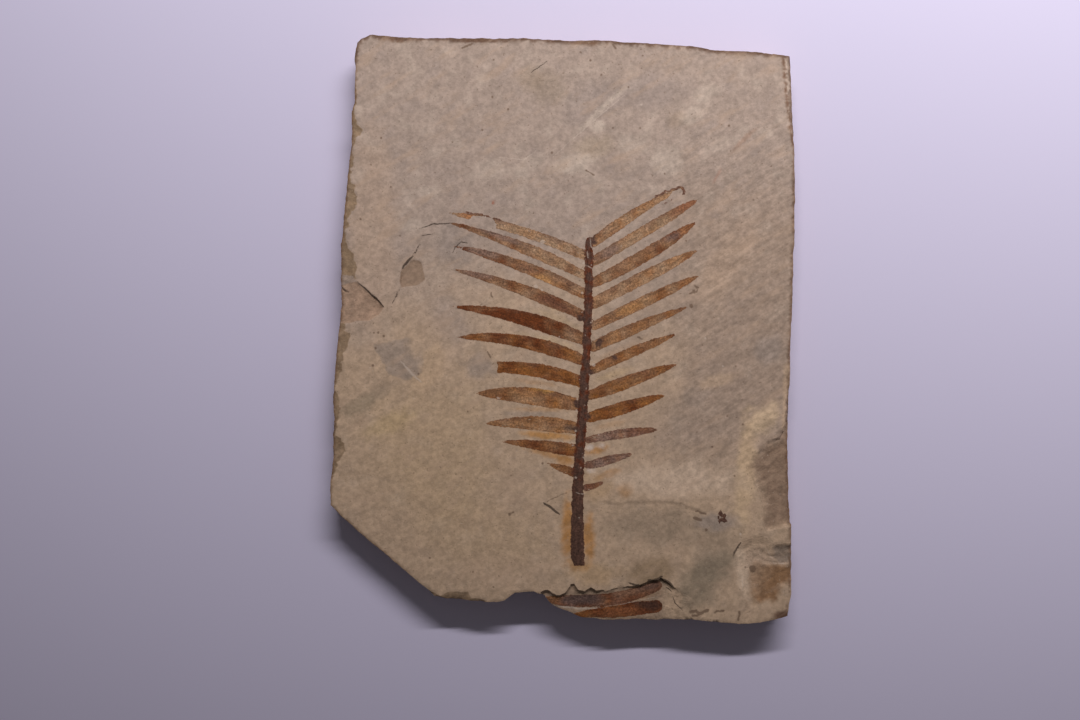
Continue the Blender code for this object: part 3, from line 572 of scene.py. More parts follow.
def loss_depth(x, y, inside):
    """How deep the stone's losses cut below the face."""
    def cut(name, floor, edge=STEP_WIDTH):
        return rise(inside[name], 0, edge) * floor

    shallow = 1 - 0.5 * rise(x, 15, 20) * (1 - rise(x, 28, 36))
    front = FRONT_STEP_DEPTH + 0.02 * np.clip(-118 - y, 0, 20) + 0.12 * layered(x, y, 7, 400)
    rind = RIND_DEPTH + RIND_SLOPE * np.clip(inside["rind"], 0, 9) + 0.1 * layered(x, y, 3, 410)
    chip = LEFT_CHIP_DEPTH - 0.05 * np.clip(-84 - x, 0, 14) + 0.08 * layered(x, y, 4, 420)
    spall = 0.25 + SPALL_SLOPE * np.clip(x - 88, 0, 22) + 0.18 * layered(x, y, 7, 430)
    shell = np.sqrt(np.clip(inside["corner"], 0, 11) / 11)
    shell = shell * (1 + 0.1 * np.sin(inside["corner"] * 2.2))
    return np.maximum.reduce([
        cut("front", front) * shallow * (1 - rise(x, *FRONT_STEP_FADE)),
        cut("rind", rind) * (1 - cut("shard", 0.55)),
        cut("left_chip", chip),
        cut("small_chip", np.clip(SMALL_CHIP_DEPTH - 0.06 * (x + 74), 0.05, 1)),
        cut("spall", spall, 1.6),
        cut("upper_right", 0.35) + 0.65 * np.clip(inside["upper_right"], 0, 5),
        cut("lower_left", 0.5) + 0.35 * np.clip(inside["lower_left"], 0, 6),
        CORNER_DEPTH * shell + cut("pit", CORNER_PIT_DEPTH + 0.1 * layered(x, y, 3, 440), 1.2),
    ])


def thin_layers(x, y):
    """How far the face is lowered beside the lines where thin layers end."""
    lowered = np.zeros(x.shape)
    for name, lower_side, depth, run_out, near, far in THIN_LAYERS:
        distance, side, along = line_distance(x, y, ROUGH[name])
        ends = rise(along, 0, run_out) * rise(1 - along, 0, run_out)
        below = rise(lower_side * distance * side, -0.15, 0.3) * (1 - rise(distance, near, far))
        lowered += depth * below * ends
    return lowered


def streak_strength(x, y):
    """How clearly the slanting grain shows: most on the right, some low on the left."""
    right = rise(x, 25, 70) * (1 - rise(np.abs(y - 12), 65, 105))
    left = 0.3 * (1 - rise(x, -45, 0)) * (1 - rise(y, 10, 50))
    return 0.25 + 0.75 * np.maximum(right, left)


def face_relief(x, y, film_gap):
    """The bedding plane without its losses: low swells, lumps, grain and grooves to the upper right."""
    along = 0.84 * x + 0.54 * y
    across = 0.84 * y - 0.54 * x
    relief = sum(height * layered(x, y, size, seed, layers) for height, size, seed, layers in RELIEF)
    grooves = sum(height * lumps(along / stretch, across, size, seed)
                  for height, stretch, size, seed in GROOVES)
    return relief + streak_strength(x, y) * grooves - 0.16 * rise(film_gap, 0, STEP_WIDTH)


def edge_wear(x, y, rim):
    """How much the upper rim has crumbled, by distance from the slab's edge."""
    width = 0.5 + 0.9 * rise(layered(x, y, 9, 520), -0.2, 1)
    return 0.55 * (1 - rise(rim, 0, width)) * (0.6 + 0.5 * lumps(x, y, 3, 525))


def stalk_relief(x, y):
    """The stalk's low ridge, with a rough top and cross cracks."""
    inside, across, along = stalk_place(x, y)
    crown = np.sqrt(np.clip(1 - across ** 2, 0, 1)) * rise(inside, -0.1, 0.5)
    furrows = 0.1 * lumps(x * 2.2, y, 2.4, 530) + 0.08 * lumps(x, y, 1.3, 531)
    return crown * (STALK_RISE + furrows)


def face_height(x, y, inside):
    """Height of the fossil face everywhere, with its losses and its worn rim."""
    lowered = thin_layers(x, y) + loss_depth(x, y, inside) + edge_wear(x, y, inside["outline"])
    return FACE_LEVEL + face_relief(x, y, inside["film_gap"]) + stalk_relief(x, y) - lowered


def plain(colour, x):
    """One colour for each point."""
    return np.tile(linear(colour), (len(x), 1))


def mix(base, colour, amount):
    """Blend an array of colours towards one colour or another array."""
    amount = np.clip(amount, 0, 1)[:, None]
    return base * (1 - amount) + colour * amount


def painted(ground, layers):
    """The colours with each layer's colour blended over them in turn, by its amount."""
    for colour, amount in layers:
        ground = mix(ground, linear(colour), amount)
    return ground


def patch_layers(x, y, patches):
    """The colour of each soft patch, with how strongly it shows at each point."""
    return ((colour, strength * patch_strength(x, y, *place)) for *place, colour, strength in patches)


def bedding_colours(x, y):
    """The stone of the bedding plane: greyer at the top and right, yellower low on the left."""
    wander = layered(x, y, 40, 590)
    right = rise(x + 16 * wander, 20, 75) * (1 - rise(y, 40, 90)) * rise(y, -85, -40)
    cloud = layered(x + 0.35 * y, y - 0.35 * x, 11, 595, 4)
    upper = rise(y, 20, 70)
    return painted(plain(STONE_LOW, x), [
        (STONE_TOP, rise(y + 22 * wander, -25, 55)),
        (STONE_RIGHT, right),
        (PALE, 0.4 * rise(cloud, 0.05, 1.1) * (0.45 + 0.55 * upper)),
        (GREY, 0.4 * rise(-cloud, 0.05, 1.1) * (0.35 + 0.65 * upper)),
    ])


def loss_tones(x, y, inside):
    """Colours of the stone's losses and stains, with painted shade on the right spall and painted light in
    the corner chip, and how strongly each shows.
    """
    def within(name, full=0.3):
        return rise(inside[name], -0.2, full)

    brown = rise(inside["brown_chip"] + 1.6 * layered(x, y, 5, 605), -0.8, 2.4)
    fading = rise(-x - 0.8 * y - 8 * layered(x, y, 9, 607), 68, 84)
    dots = rise(layered(x, y, 2.2, 619), -0.7, 0.1)
    return [
        (GREY, 0.6 * within("shard")),
        (FRESH_BREAK, 0.9 * within("left_chip")),
        (BROWN, 0.75 * within("small_chip")),
        (LOWER_BED, 0.7 * within("front") * (1 - 0.8 * rise(x, 45, 49))),
        # The right spall: its broken stone, with painted shade of its sloping floor
        (SPALL_AND_SHADE, rise(inside["spall"] + layered(x, y, 4, 603), -0.8, 5)),
        # The corner chip: its pale break, partly painted light on its slope that faces the light
        (PALE_CHIP_AND_LIGHT, 0.75 * rise(inside["corner"], 3, 8)),
        (CORNER, 0.5 * brown * (1 + rise(x - 0.5 * y, 142, 156))),
        (PATCH_GREY, 0.9 * fading * within("grey_patch", 0.5)),
        (CORNER_GREY, 0.7 * within("pit", 1)),
        (STRIP, 0.6 * within("upper_right", 0.5)),
        (EDGE_BROWN, 0.85 * dots * (1 - rise(np.abs(inside["upper_right"]), 0.3, 0.8))),
        (RIND, 0.8 * within("lower_left", 0.5)),
    ]


def rim_tones(x, y, rim):
    """Colours along the slab's upper rim, with how strongly each shows."""
    width = 0.5 + 0.8 * rise(layered(x, y, 8, 610), -0.3, 0.9) + 0.5 * rise(y, 120, 128)
    lower_end = 1 - 0.75 * rise(-y, 100, 120)
    right_line = rise(layered(x, y, 5, 615), -0.5, 0.1) * rise(x, 98, 101) * rise(rim, 0, 0.3)
    top_line = rise(y, 118, 126) * (1 - rise(rim + 0.6 * layered(x, y, 3, 618), 0.7, 1.6))
    notches = rise(layered(x, y, 2.6, 621), -0.05, 0.35) * rise(y, 122, 126)
    strip = rise(x, 96, 99) * rise(-y, 14, 18) * rise(y, -48, -44)
    strip_dark = rise(layered(x, y, 3.5, 617), -0.7, 0.3) * (1 - rise(rim, 1.3, 1.9))
    return [
        (EDGE_BROWN, 0.8 * lower_end * (1 - rise(rim, 0.25 * width, width))),
        (EDGE_DARK, 0.8 * right_line * (1 - rise(rim, 0.9, 1.7))),
        (EDGE_DARK, 0.9 * top_line),
        (EDGE_DARK, 0.65 * notches * (1 - rise(rim, 1.2, 2.9))),
        (CREAM, 0.7 * strip * rise(-rim, -3.4, -2.6)),
        (EDGE_DARK, 0.75 * strip * strip_dark),
    ]


def face_colours(x, y, inside):
    """The stone's colour on the face, with the painted shade and light among its patches and losses, without
    its film.
    """
    ground = painted(bedding_colours(x, y), patch_layers(x, y, PATCHES))
    rind = painted(plain(RIND, x), [(RIND_LIGHT, 0.2 + 0.2 * layered(x, y, 5, 600))])
    ground = mix(ground, rind, rise(inside["rind"], -0.2, 0.3))
    return painted(ground, loss_tones(x, y, inside) + rim_tones(x, y, inside["outline"]))


def leaflet_curve(base, middle, tip):
    """Points along the curve that passes through the three given ones."""
    part = np.linspace(0, TIP_REACH, LEAFLET_SAMPLES)[:, None]
    control = 2 * middle - 0.5 * (base + tip)
    return (1 - part) ** 2 * base + 2 * part * (1 - part) * control + part ** 2 * tip


def leaflet_half_width(part, widths):
    """Half width along a leaflet, with a blunt point at the tip."""
    values = tuple(widths) + (0.52 * widths[3], 0)
    samples = np.linspace(0, 1, LEAFLET_SAMPLES)
    curve = np.interp(samples, WIDTH_KNOTS, values)
    inner = curve[1:-1] * 0.5 + (curve[:-2] + curve[2:]) * 0.25
    return np.interp(part, samples, np.concatenate([curve[:1], inner, curve[-1:]]))


def film_of(along, across, group, wear, colour):
    """The film's fields apart from its edge: place along and across the leaf, wear and colour."""
    place = np.stack([along, 3 * across, np.full(along.shape, group)], 1)
    return {"place": place, "wear": wear, "colour": colour}


def leaflet_film(x, y, number, name):
    """One leaflet: how far inside it each point is, and its other fields."""
    points, widths, tones, ochre, wear = LEAFLETS[name]
    line = leaflet_curve(*np.reshape(points, (3, 2)))
    distance, side, part = line_distance(x, y, line)
    half = leaflet_half_width(part, widths)
    across = side * distance / np.maximum(half, 0.3)
    if name.startswith("left"):
        across = -across
    inside = half - distance + 0.17 * layered(x, y, 4, 720 + number)
    if name == BROKEN_LEAFLET:
        inside = np.minimum(inside, x - BROKEN_END - 0.9 * (1 - across ** 2))
    dark = np.interp(part, (0, 0.5, 1), tones)
    margin = rise(across + 0.8 * layered(x, y, 9, 760 + number), 0.35, 1.1)
    tint = painted(plain(FILM_LILAC if name in LILAC_LEAFLETS else FILM_LIGHT, x), [
        (FILM_OCHRE, ochre + 0.4 * layered(x, y, 6, 740 + number)),
        (FILM_DARK, dark + 0.45 * layered(x, y, 7, 700 + number)),
        (FILM_MARGIN, margin * (0.5 - 0.3 * np.clip(dark, 0, 1))),
    ])
    return inside, film_of(part * np.hypot(*(line[-1] - line[0])), across, 7 * number, wear, tint)


def stalk_film(x, y):
    """The stalk: how far inside it each point is, and its other fields."""
    inside, across, along = stalk_place(x, y)
    reddish = rise(0.6 * np.abs(across) + 0.9 * layered(x, y, 3.5, 790), -0.1, 1) * rise(y, -85, -55)
    worn = 0.1 + 0.35 * rise(np.abs(across), 0.5, 1) + 0.25 * rise(y, 28, 40)
    tint = painted(plain(STALK_DARK, x), [(STALK_RED, reddish)])
    return inside + 0.35 * layered(x, y, 3, 780), film_of(along, across, -9, worn, tint)


def film_fields(x, y, lower_bed):
    """What the film's shading needs at each point: edge distance, place, wear and colour."""
    fields = {
        "edge": np.full(x.shape, -FAR),
        "place": np.zeros((len(x), 3)),
        "wear": np.zeros(x.shape),
        "colour": plain(FILM_DARK, x),
    }

    def lay(covered, **film):
        for name, value in film.items():
            where = covered if fields[name].ndim == 1 else covered[:, None]
            fields[name] = np.where(where, value, fields[name])

    for number, name in enumerate(LEAFLETS):
        inside, film = leaflet_film(x, y, number, name)
        if name in LOWER_LEAFLETS:
            inside = np.minimum(inside, lower_bed - 0.5)
        lay(inside > fields["edge"], edge=inside, **film)
    fields["colour"] = painted(fields["colour"], patch_layers(x, y, FILM_PATCHES))
    for gap in FILM_GAPS:
        fields["edge"] = np.minimum(fields["edge"], 2 - 5 * patch_strength(x, y, *gap))
    inside, film = stalk_film(x, y)
    lay(inside > -0.25, edge=np.maximum(inside, fields["edge"]), **film)
    for line, half in rough_lines("film"):
        inside = half - line_distance(x, y, line)[0]
        lay(inside > np.maximum(fields["edge"], -0.4), edge=inside + 0.2, colour=linear(FILM_MARGIN))
    for cx, cy, radius in CLOTS:
        inside = radius - np.hypot(x - cx, y - cy) + 0.5 * layered(x, y, 2, 795)
        lay(inside > -0.3, edge=np.maximum(fields["edge"], inside), colour=linear(STALK_DARK))
    return fields


def speck_field(x, y):
    """How far inside a brown speck or smudge each point is."""
    field = line_field(x, y, "smudge")
    for cx, cy, radius in SPECKS:
        field = np.maximum(field, radius + 0.05 - np.hypot(x - cx, y - cy))
    return field + 0.25 * layered(x, y, 1.9, 835, 2)


def pale_field(x, y):
    """How far inside a pale line or grain each point is."""
    field = line_field(x, y, "pale")
    uneven = 0.45 * lumps(x, y, 1.1, 830)
    for cx, cy, radius in PALE_MARKS:
        field = np.maximum(field, radius - np.hypot(x - cx, y - cy) + uneven)
    return field


def left_normals(points, closed):
    """Unit vectors to the left of an outline or a line, at each of its points."""
    ahead = np.roll(points, -1, 0) - np.roll(points, 1, 0)
    if not closed:
        ahead[0] = points[1] - points[0]
        ahead[-1] = points[-1] - points[-2]
    ahead /= np.maximum(np.hypot(*ahead.T), 1e-6)[:, None]
    return np.stack([-ahead[:, 1], ahead[:, 0]], 1)


def row_points(line, closed, offsets):
    """Rows of points beside a line, so that the mesh has edges along it."""
    points = resample([tuple(point) for point in line], ROW_STEP, closed)
    return [points + offset * left_normals(points, closed) for offset in offsets]


def dot_points(x, y, radius):
    """The middle of a round mark and two rings of points about its rim."""
    turns = np.linspace(0, 2 * np.pi, 8, endpoint=False)
    rings = [reach * np.stack([np.cos(turns), np.sin(turns)], 1) for reach in (radius * 0.7, radius + 0.45)]
    return np.vstack([[(0, 0)]] + rings) + (x, y)


def face_points():
    """Points of the face's mesh: rows along every step and line, fine ones on the stalk, a plain rest."""
    rows = []
    for name, line in ROUGH.items():
        if name not in ("outline", "film_gap"):
            rows += row_points(line, name not in OPEN_LINES, (-ROW_OFFSET, ROW_OFFSET))
    for kind, margin in LINE_MARGINS.items():
        for line, half in rough_lines(kind):
            rows += row_points(line, False, (-half - margin, 0, half + margin))
    rows += [dot_points(*dot) for dot in PALE_MARKS + SPECKS]
    rows = thinned(np.vstack(rows), ROW_GAP)
    fine = jittered_grid(STALK_STEP, STALK_SPAN, 900)
    fine = fine[stalk_place(*fine.T)[0] > -0.7]
    taken = np.vstack([rows, fine[clearance(fine, rows) > 0.5]])
    rest = jittered_grid(FACE_STEP, FACE_SPAN, 901)
    points = np.vstack([taken, rest[clearance(rest, taken) > 0.62]])
    return points[depth_inside(*points.T, ROUGH["outline"]) > 0.5]


def jittered_grid(step, spans, seed):
    """A triangular grid with each point moved a little at random."""
    columns = np.arange(*spans[0], step)
    lines = np.arange(*spans[1], step * 0.866)
    x, y = np.meshgrid(columns, lines)
    x = x + (np.arange(len(lines)) % 2)[:, None] * step / 2
    points = np.stack([x.ravel(), y.ravel()], 1)
    return points + np.random.default_rng(seed).uniform(-GRID_JITTER, GRID_JITTER, points.shape) * step


def cell_keys(points, size):
    """The square cell that each point lies in."""
    return [tuple(key) for key in np.floor(points / size).astype(int)]


def cells_around(key):
    """A cell and its eight neighbours."""
    return [(key[0] + i, key[1] + j) for i in (-1, 0, 1) for j in (-1, 0, 1)]


def thinned(points, gap):
    """The points without those that lie nearer than about gap to an earlier one."""
    kept = {}
    for point, key in zip(points, cell_keys(points, gap)):
        around = [kept.get(cell) for cell in cells_around(key)]
        if all(other is None or np.hypot(*(point - other)) >= gap for other in around):
            kept[key] = point
    return np.array(list(kept.values()))


def clearance(points, others):
    """Distance from each point to the nearest of the others, if that is under a millimetre."""
    cells = {}
    for other, key in zip(others, cell_keys(others, 1)):
        cells.setdefault(key, []).append(other)
    result = np.full(len(points), FAR)
    for index, (point, key) in enumerate(zip(points, cell_keys(points, 1))):
        near = [other for cell in cells_around(key) for other in cells.get(cell, [])]
        if near:
            result[index] = np.hypot(*(np.array(near) - point).T).min()
    return result


def triangulate(outline, inner):
    """Triangles that fill an outline through the inner points; the outline's points come first."""
    points = [Vector(point) for point in np.vstack([outline, inner])]
    count = len(outline)
    edges = [(index, (index + 1) % count) for index in range(count)]
    result = delaunay_2d_cdt(points, edges, [], 1, 1e-7)
    vertices, faces, origins = result[0], result[2], result[3]
    order = [origin[0] for origin in origins]
    xy = np.zeros((len(points), 2))
    for vertex, index in zip(vertices, order):
        xy[index] = vertex
    return xy, [[order[corner] for corner in face] for face in faces]


# Flakes lost from the rim of the underside: a point on the rim, heading outwards, width and slope
UNDER_FLAKES = [
    (101, 62, 0, 58, 34),
    (-30, 129.5, 90, 74, 28),
    (-99, -30, 180, 46, 40),
    (-84, -93, 221, 40, 30),
    (64, -128.5, 270, 50, 36),
]
# The side wall: heights, how far its beds stand in there, and its roughness and bands of colour as
# noises: strength, grain in plan and grain upwards
WALL_PROFILE_HEIGHTS = [0, 3.2, 3.9, 8, 8.8, 12, 12.8, 16.4, 17.2, 19.4, 20, 24]
WALL_PROFILE_INSETS = [2.6, 1.5, 0.4, 0.8, 1.9, 1.6, 0.4, 0.6, 0.1, 0, 0.2, 0]
WALL_ROUGHNESS = [(0.75, 0.16, 0.75), (0.4, 0.45, 0.9), (0.3, 0.05, 2.1)]
WALL_BANDS = [(1, 0.02, 0.55), (0.6, 0.06, 1.6)]


def under_height(x, y):
    """Height of the underside: flat, with shallow hollows and sloping flakes lost at its rim."""
    height = 0.35 * rise(layered(x, y, 26, 950), 0.1, 0.9)
    for px, py, heading, width, slope in UNDER_FLAKES:
        outward, sideways = turned(x - px, y - py, heading)
        outward = outward + 1.2 * layered(x, y, 11, 960)
        ends = 1 - rise(np.abs(sideways) + 2 * lumps(x, y, 7, 970), width / 2 - 4, width / 2)
        height = np.maximum(height, ends * np.clip(outward, 0, None) * np.tan(np.radians(slope)))
    return height


def solid_noise(points, layers):
    """The sum of several noises in space at each point."""
    return np.array([
        sum(strength * noise.noise(Vector((x * flat, y * flat, z * up))) for strength, flat, up in layers)
        for x, y, z in points
    ])


def wall_inset(points):
    """How far the side wall stands in from the outline: worn beds, their ledges and rough breaks."""
    x, y, z = points.T
    bed = np.interp(z - 1.6 * lumps(x, y, 70, 980), WALL_PROFILE_HEIGHTS, WALL_PROFILE_INSETS)
    bed = bed * (1 + 1.2 * lumps(x, y, 33, 981))
    return np.clip(bed, -0.3, 5) + solid_noise(points, WALL_ROUGHNESS)


def wall_rings(rim, rim_height):
    """Rings of points from just under the upper rim down to the underside."""
    inward = -left_normals(rim, True)
    for turn in range(INWARD_SMOOTHING):
        inward = (np.roll(inward, 1, 0) + 2 * inward + np.roll(inward, -1, 0)) / 4
    rings = []
    for row in range(1, WALL_ROWS + 1):
        part = row / WALL_ROWS
        inset = wall_inset(np.column_stack([rim, rim_height * (1 - part)])) * rise(part, 0, 0.12)
        xy = rim + inward * inset[:, None]
        floor = under_height(*xy.T)
        height = np.maximum(floor, rim_height + (floor - rim_height) * part)
        rings.append(np.column_stack([xy, height]))
    return rings


def wall_colours(points):
    """Weathered brown edges of the beds, paler where a break is fresher, and the plain underside."""
    x, y, z = points.T
    patches = layered(x + 0.7 * z, y - 0.7 * z, 24, 990)
    brown = 0.15 + 0.8 * rise(solid_noise(points, WALL_BANDS) + 0.7 * patches, -0.7, 0.8)
    return painted(plain(WALL_PALE, x), [(WALL_BROWN, brown), (UNDERSIDE, under_share(z))])


def under_share(z):
    """1 on the underside and 0 on the wall above it."""
    return rise(1.2 - z, 0, 1)


def make_plate_mesh():
    """The whole slab as one closed mesh, with the fields that its material reads."""
    rim = ROUGH["outline"]
    count = len(rim)
    xy, face_triangles = triangulate(rim, face_points())
    x, y = xy.T
    inside = {name: depth_inside(x, y, line) for name, line in ROUGH.items() if name not in OPEN_LINES}
    height = face_height(x, y, inside)
    rings = wall_rings(rim, height[:count])

    under_rim = rings[-1][:, :2]
    under_inner = jittered_grid(UNDER_STEP, UNDER_SPAN, 902)
    under_inner = under_inner[depth_inside(*under_inner.T, under_rim) > 1.8]
    under_xy, under_triangles = triangulate(under_rim, under_inner)
    under = under_xy[count:]

    wall = np.vstack(rings + [np.column_stack([under, under_height(*under.T)])])
    tops = [0] + [len(xy) + count * row for row in range(WALL_ROWS)]
    faces = [tuple(triangle) for triangle in face_triangles]
    for upper, lower in zip(tops, tops[1:]):
        for index in range(count):
            following = (index + 1) % count
            faces.append((upper + index, upper + following, lower + following, lower + index))
    faces += [tuple(tops[-1] + corner for corner in reversed(triangle)) for triangle in under_triangles]

    mesh = bpy.data.meshes.new("fossil_plate_stone")
    mesh.from_pydata((np.vstack([np.column_stack([xy, height]), wall]) * MM).tolist(), [], faces)
    mesh.validate()
    store_fields(mesh, x, y, inside, wall)
    return mesh


def store_fields(mesh, x, y, inside, wall):
    """Colours and distances for the face's points, and plain stone for the wall and underside."""
    film = film_fields(x, y, inside["front"])
    losses = ("front", "rind", "left_chip", "spall", "corner", "lower_left")
    broken = np.maximum.reduce([rise(inside[name], -0.2, 0.6) for name in losses])
    fields = {
        "ground": (face_colours(x, y, inside), wall_colours(wall)),
        "film": (film["colour"], 0),
        "film_edge": (film["edge"], -FAR),
        "film_wear": (film["wear"], 0),
        "film_place": (film["place"], 0),
        "crack_and_shadow": (line_field(x, y, "crack_and_shadow"), -FAR),
        "speck": (speck_field(x, y), -FAR),
        "pale": (pale_field(x, y), -FAR),
        "streaks": (streak_strength(x, y), 0),
        "broken": (broken, 1),
        "wall": (np.zeros(x.shape), 1 - 0.6 * under_share(wall[:, 2])),
    }
    for name, (on_face, elsewhere) in fields.items():
        elsewhere = np.broadcast_to(elsewhere, (len(wall),) + on_face.shape[1:])
        values = np.concatenate([on_face, elsewhere]).astype(np.float32)
        kind, key = ("FLOAT", "value") if values.ndim == 1 else ("FLOAT_VECTOR", "vector")
        mesh.attributes.new(name, kind, "POINT").data.foreach_set(key, values.ravel())


class Nodes:
    """Short ways to add and link shader nodes in one material."""

    def __init__(self, material):
        self.tree = material.node_tree

    def link(self, source, target):
        """Set an input to a value or link an output to it."""
        if isinstance(source, (int, float, tuple)):
            target.default_value = source
        else:
            self.tree.links.new(source, target)

    def add(self, kind, inputs, output, **settings):
        """One output of a new node with the given settings and inputs."""
        node = self.tree.nodes.new("ShaderNode" + kind)
        for name, value in settings.items():
            setattr(node, name, value)
        for name, value in inputs.items():
            self.link(value, node.inputs[name])
        return node.outputs[output]

    def math(self, operation, first, second):
        return self.add("Math", {0: first, 1: second}, 0, operation=operation)

    def scaled(self, vector, factors):
        return self.add("VectorMath", {0: vector, 1: factors}, 0, operation="MULTIPLY")

    def brightness(self, colour, factor):
        """The colour times a grey factor, which may be above 1."""
        return self.add("VectorMath", {0: colour, "Scale": factor}, 0, operation="SCALE")

    def attribute(self, name, output="Fac"):
        return self.add("Attribute", {}, output, attribute_name=name)

    def noise(self, vector, size, detail=3, roughness=0.55):
        """Noise between 0 and 1 with lumps size millimetres across, for a vector in millimetres."""
        inputs = {"Vector": vector, "Scale": 1 / size, "Detail": detail, "Roughness": roughness}
        return self.add("TexNoise", inputs, "Fac")

    def ramp(self, value, low, high, out_low=0, out_high=1):
        """Smooth change from out_low to out_high as the value goes from low to high."""
        inputs = {"Value": value, "From Min": low, "From Max": high, "To Min": out_low, "To Max": out_high}
        return self.add("MapRange", inputs, "Result", interpolation_type="SMOOTHSTEP")

    def mottled(self, colour, vector, noise_scale, levels):
        """The colour made brighter and darker by a noise."""
        return self.brightness(colour, self.ramp(self.noise(vector, *noise_scale), *levels))

    def mix(self, first, second, amount, blend="MIX"):
        inputs = {"Factor": amount, "A": first, "B": second}
        return self.add("Mix", inputs, "Result", data_type="RGBA", blend_type=blend)

    def varied(self, colour, factor, where):
        """The colour times a grey factor, as far as an attribute says."""
        factor = self.mix((1, 1, 1, 1), factor, self.attribute(where))
        return self.mix(colour, factor, 1, "MULTIPLY")

    def wander(self, vector, width, *noise_scale):
        """Noise about zero, width from its lowest to its highest value."""
        centred = self.math("SUBTRACT", self.noise(vector, *noise_scale), 0.5)
        return self.math("MULTIPLY", centred, width)

    def ragged(self, name, wander, *levels):
        """1 inside the shapes that a distance attribute draws, with their edges moved by a noise."""
        return self.ramp(self.math("ADD", self.attribute(name), wander), *levels)

    def bump(self, height, distance, strength, normal=None):
        inputs = {"Distance": distance, "Strength": strength, "Height": height}
        if normal is not None:
            inputs["Normal"] = normal
        return self.add("Bump", inputs, "Normal")


def rgba(colour):
    return tuple(linear(colour)) + (1,)


# Mottling of the stone: the noise's size, detail and roughness; its lowest and highest value, and how
# dark and how bright the stone is there
MOTTLING = [
    ((7, 4, 0.55), (0.32, 0.68, 0.93, 1.07)),
    ((2.1, 3, 0.55), (0.32, 0.68, 0.89, 1.11)),
    ((0.9, 4, 0.6), (0.3, 0.7, 0.96, 1.04)),
]
STREAK_TURN = -32


def stone_colour(nodes, place):
    """Mottled, speckled stone, with strata on the wall."""
    colour = nodes.attribute("ground", "Vector")
    for noise_scale, levels in MOTTLING:
        colour = nodes.mottled(colour, place, noise_scale, levels)
    turn = {"Vector": place, "Angle": np.radians(STREAK_TURN)}
    turned = nodes.add("VectorRotate", turn, "Vector", rotation_type="Z_AXIS")
    slanted = nodes.scaled(turned, (0.28, 1, 1))
    streaks = nodes.ramp(nodes.noise(slanted, 1.5, 5, 0.65), 0.32, 0.68, 0.88, 1.12)
    colour = nodes.varied(colour, streaks, "streaks")
    warm = nodes.ramp(nodes.noise(slanted, 5, 4), 0.5, 0.75, 0, 0.4)
    colour = nodes.mix(colour, rgba(WARM), warm)
    flat = nodes.scaled(place, (0.12, 0.12, 1))
    strata = nodes.ramp(nodes.noise(flat, 0.9, 4, 0.65), 0.3, 0.7, 0.72, 1.22)
    colour = nodes.varied(colour, strata, "wall")
    blotch = nodes.ramp(nodes.noise(place, 3, 4, 0.6), 0.3, 0.75, 0.84, 1.16)
    colour = nodes.varied(colour, blotch, "broken")
    specks = nodes.ramp(nodes.noise(place, 1, 2, 0.5), 0.66, 0.74, 0, 0.55)
    colour = nodes.mix(colour, rgba(SPECK), specks)
    grains = nodes.ramp(nodes.noise(nodes.scaled(place, (1, 1.2, 3)), 0.9, 2), 0.66, 0.74, 0, 0.5)
    return nodes.mix(colour, rgba(PALE), grains)


def film_mask(nodes, place):
    """Where the leaf film is: ragged edges, with flecks missing."""
    cover = nodes.ragged("film_edge", nodes.wander(place, 1.5, 1.5, 4, 0.65), -0.14, 0.22)
    along = nodes.scaled(nodes.attribute("film_place", "Vector"), (0.5, 1, 1))
    flecks = nodes.noise(along, 1.1, 5, 0.65)
    limit = nodes.math("SUBTRACT", 0.74, nodes.math("MULTIPLY", nodes.attribute("film_wear"), 0.3))
    kept = nodes.ramp(flecks, limit, nodes.math("ADD", limit, 0.09), 1, 0.12)
    return nodes.math("MULTIPLY", cover, kept)


def film_colour(nodes, place):
    """Brown leaf film: streaks along each leaflet, grains, ochre flecks and a darker rim."""
    along = nodes.scaled(nodes.attribute("film_place", "Vector"), (0.35, 1.3, 1))
    colour = nodes.attribute("film", "Vector")
    colour = nodes.mottled(colour, along, (1.6, 4, 0.6), (0.3, 0.7, 0.74, 1.26))
    colour = nodes.mottled(colour, place, (0.8, 4, 0.7), (0.32, 0.68, 0.62, 1.38))
    colour = nodes.mottled(colour, nodes.scaled(place, (1, 1, 2)), (1.2, 3), (0.58, 0.7, 1, 1.42))
    rim = nodes.ramp(nodes.attribute("film_edge"), 0, 0.7, 0.22, 0)
    return nodes.mix(colour, rgba(FILM_DARK), rim)


def new_material(name):
    """A matt material and its shader."""
    material = bpy.data.materials.new(name)
    material.use_nodes = True
    shader = material.node_tree.nodes["Principled BSDF"]
    shader.inputs["Specular IOR Level"].default_value = 0.2
    return material, shader


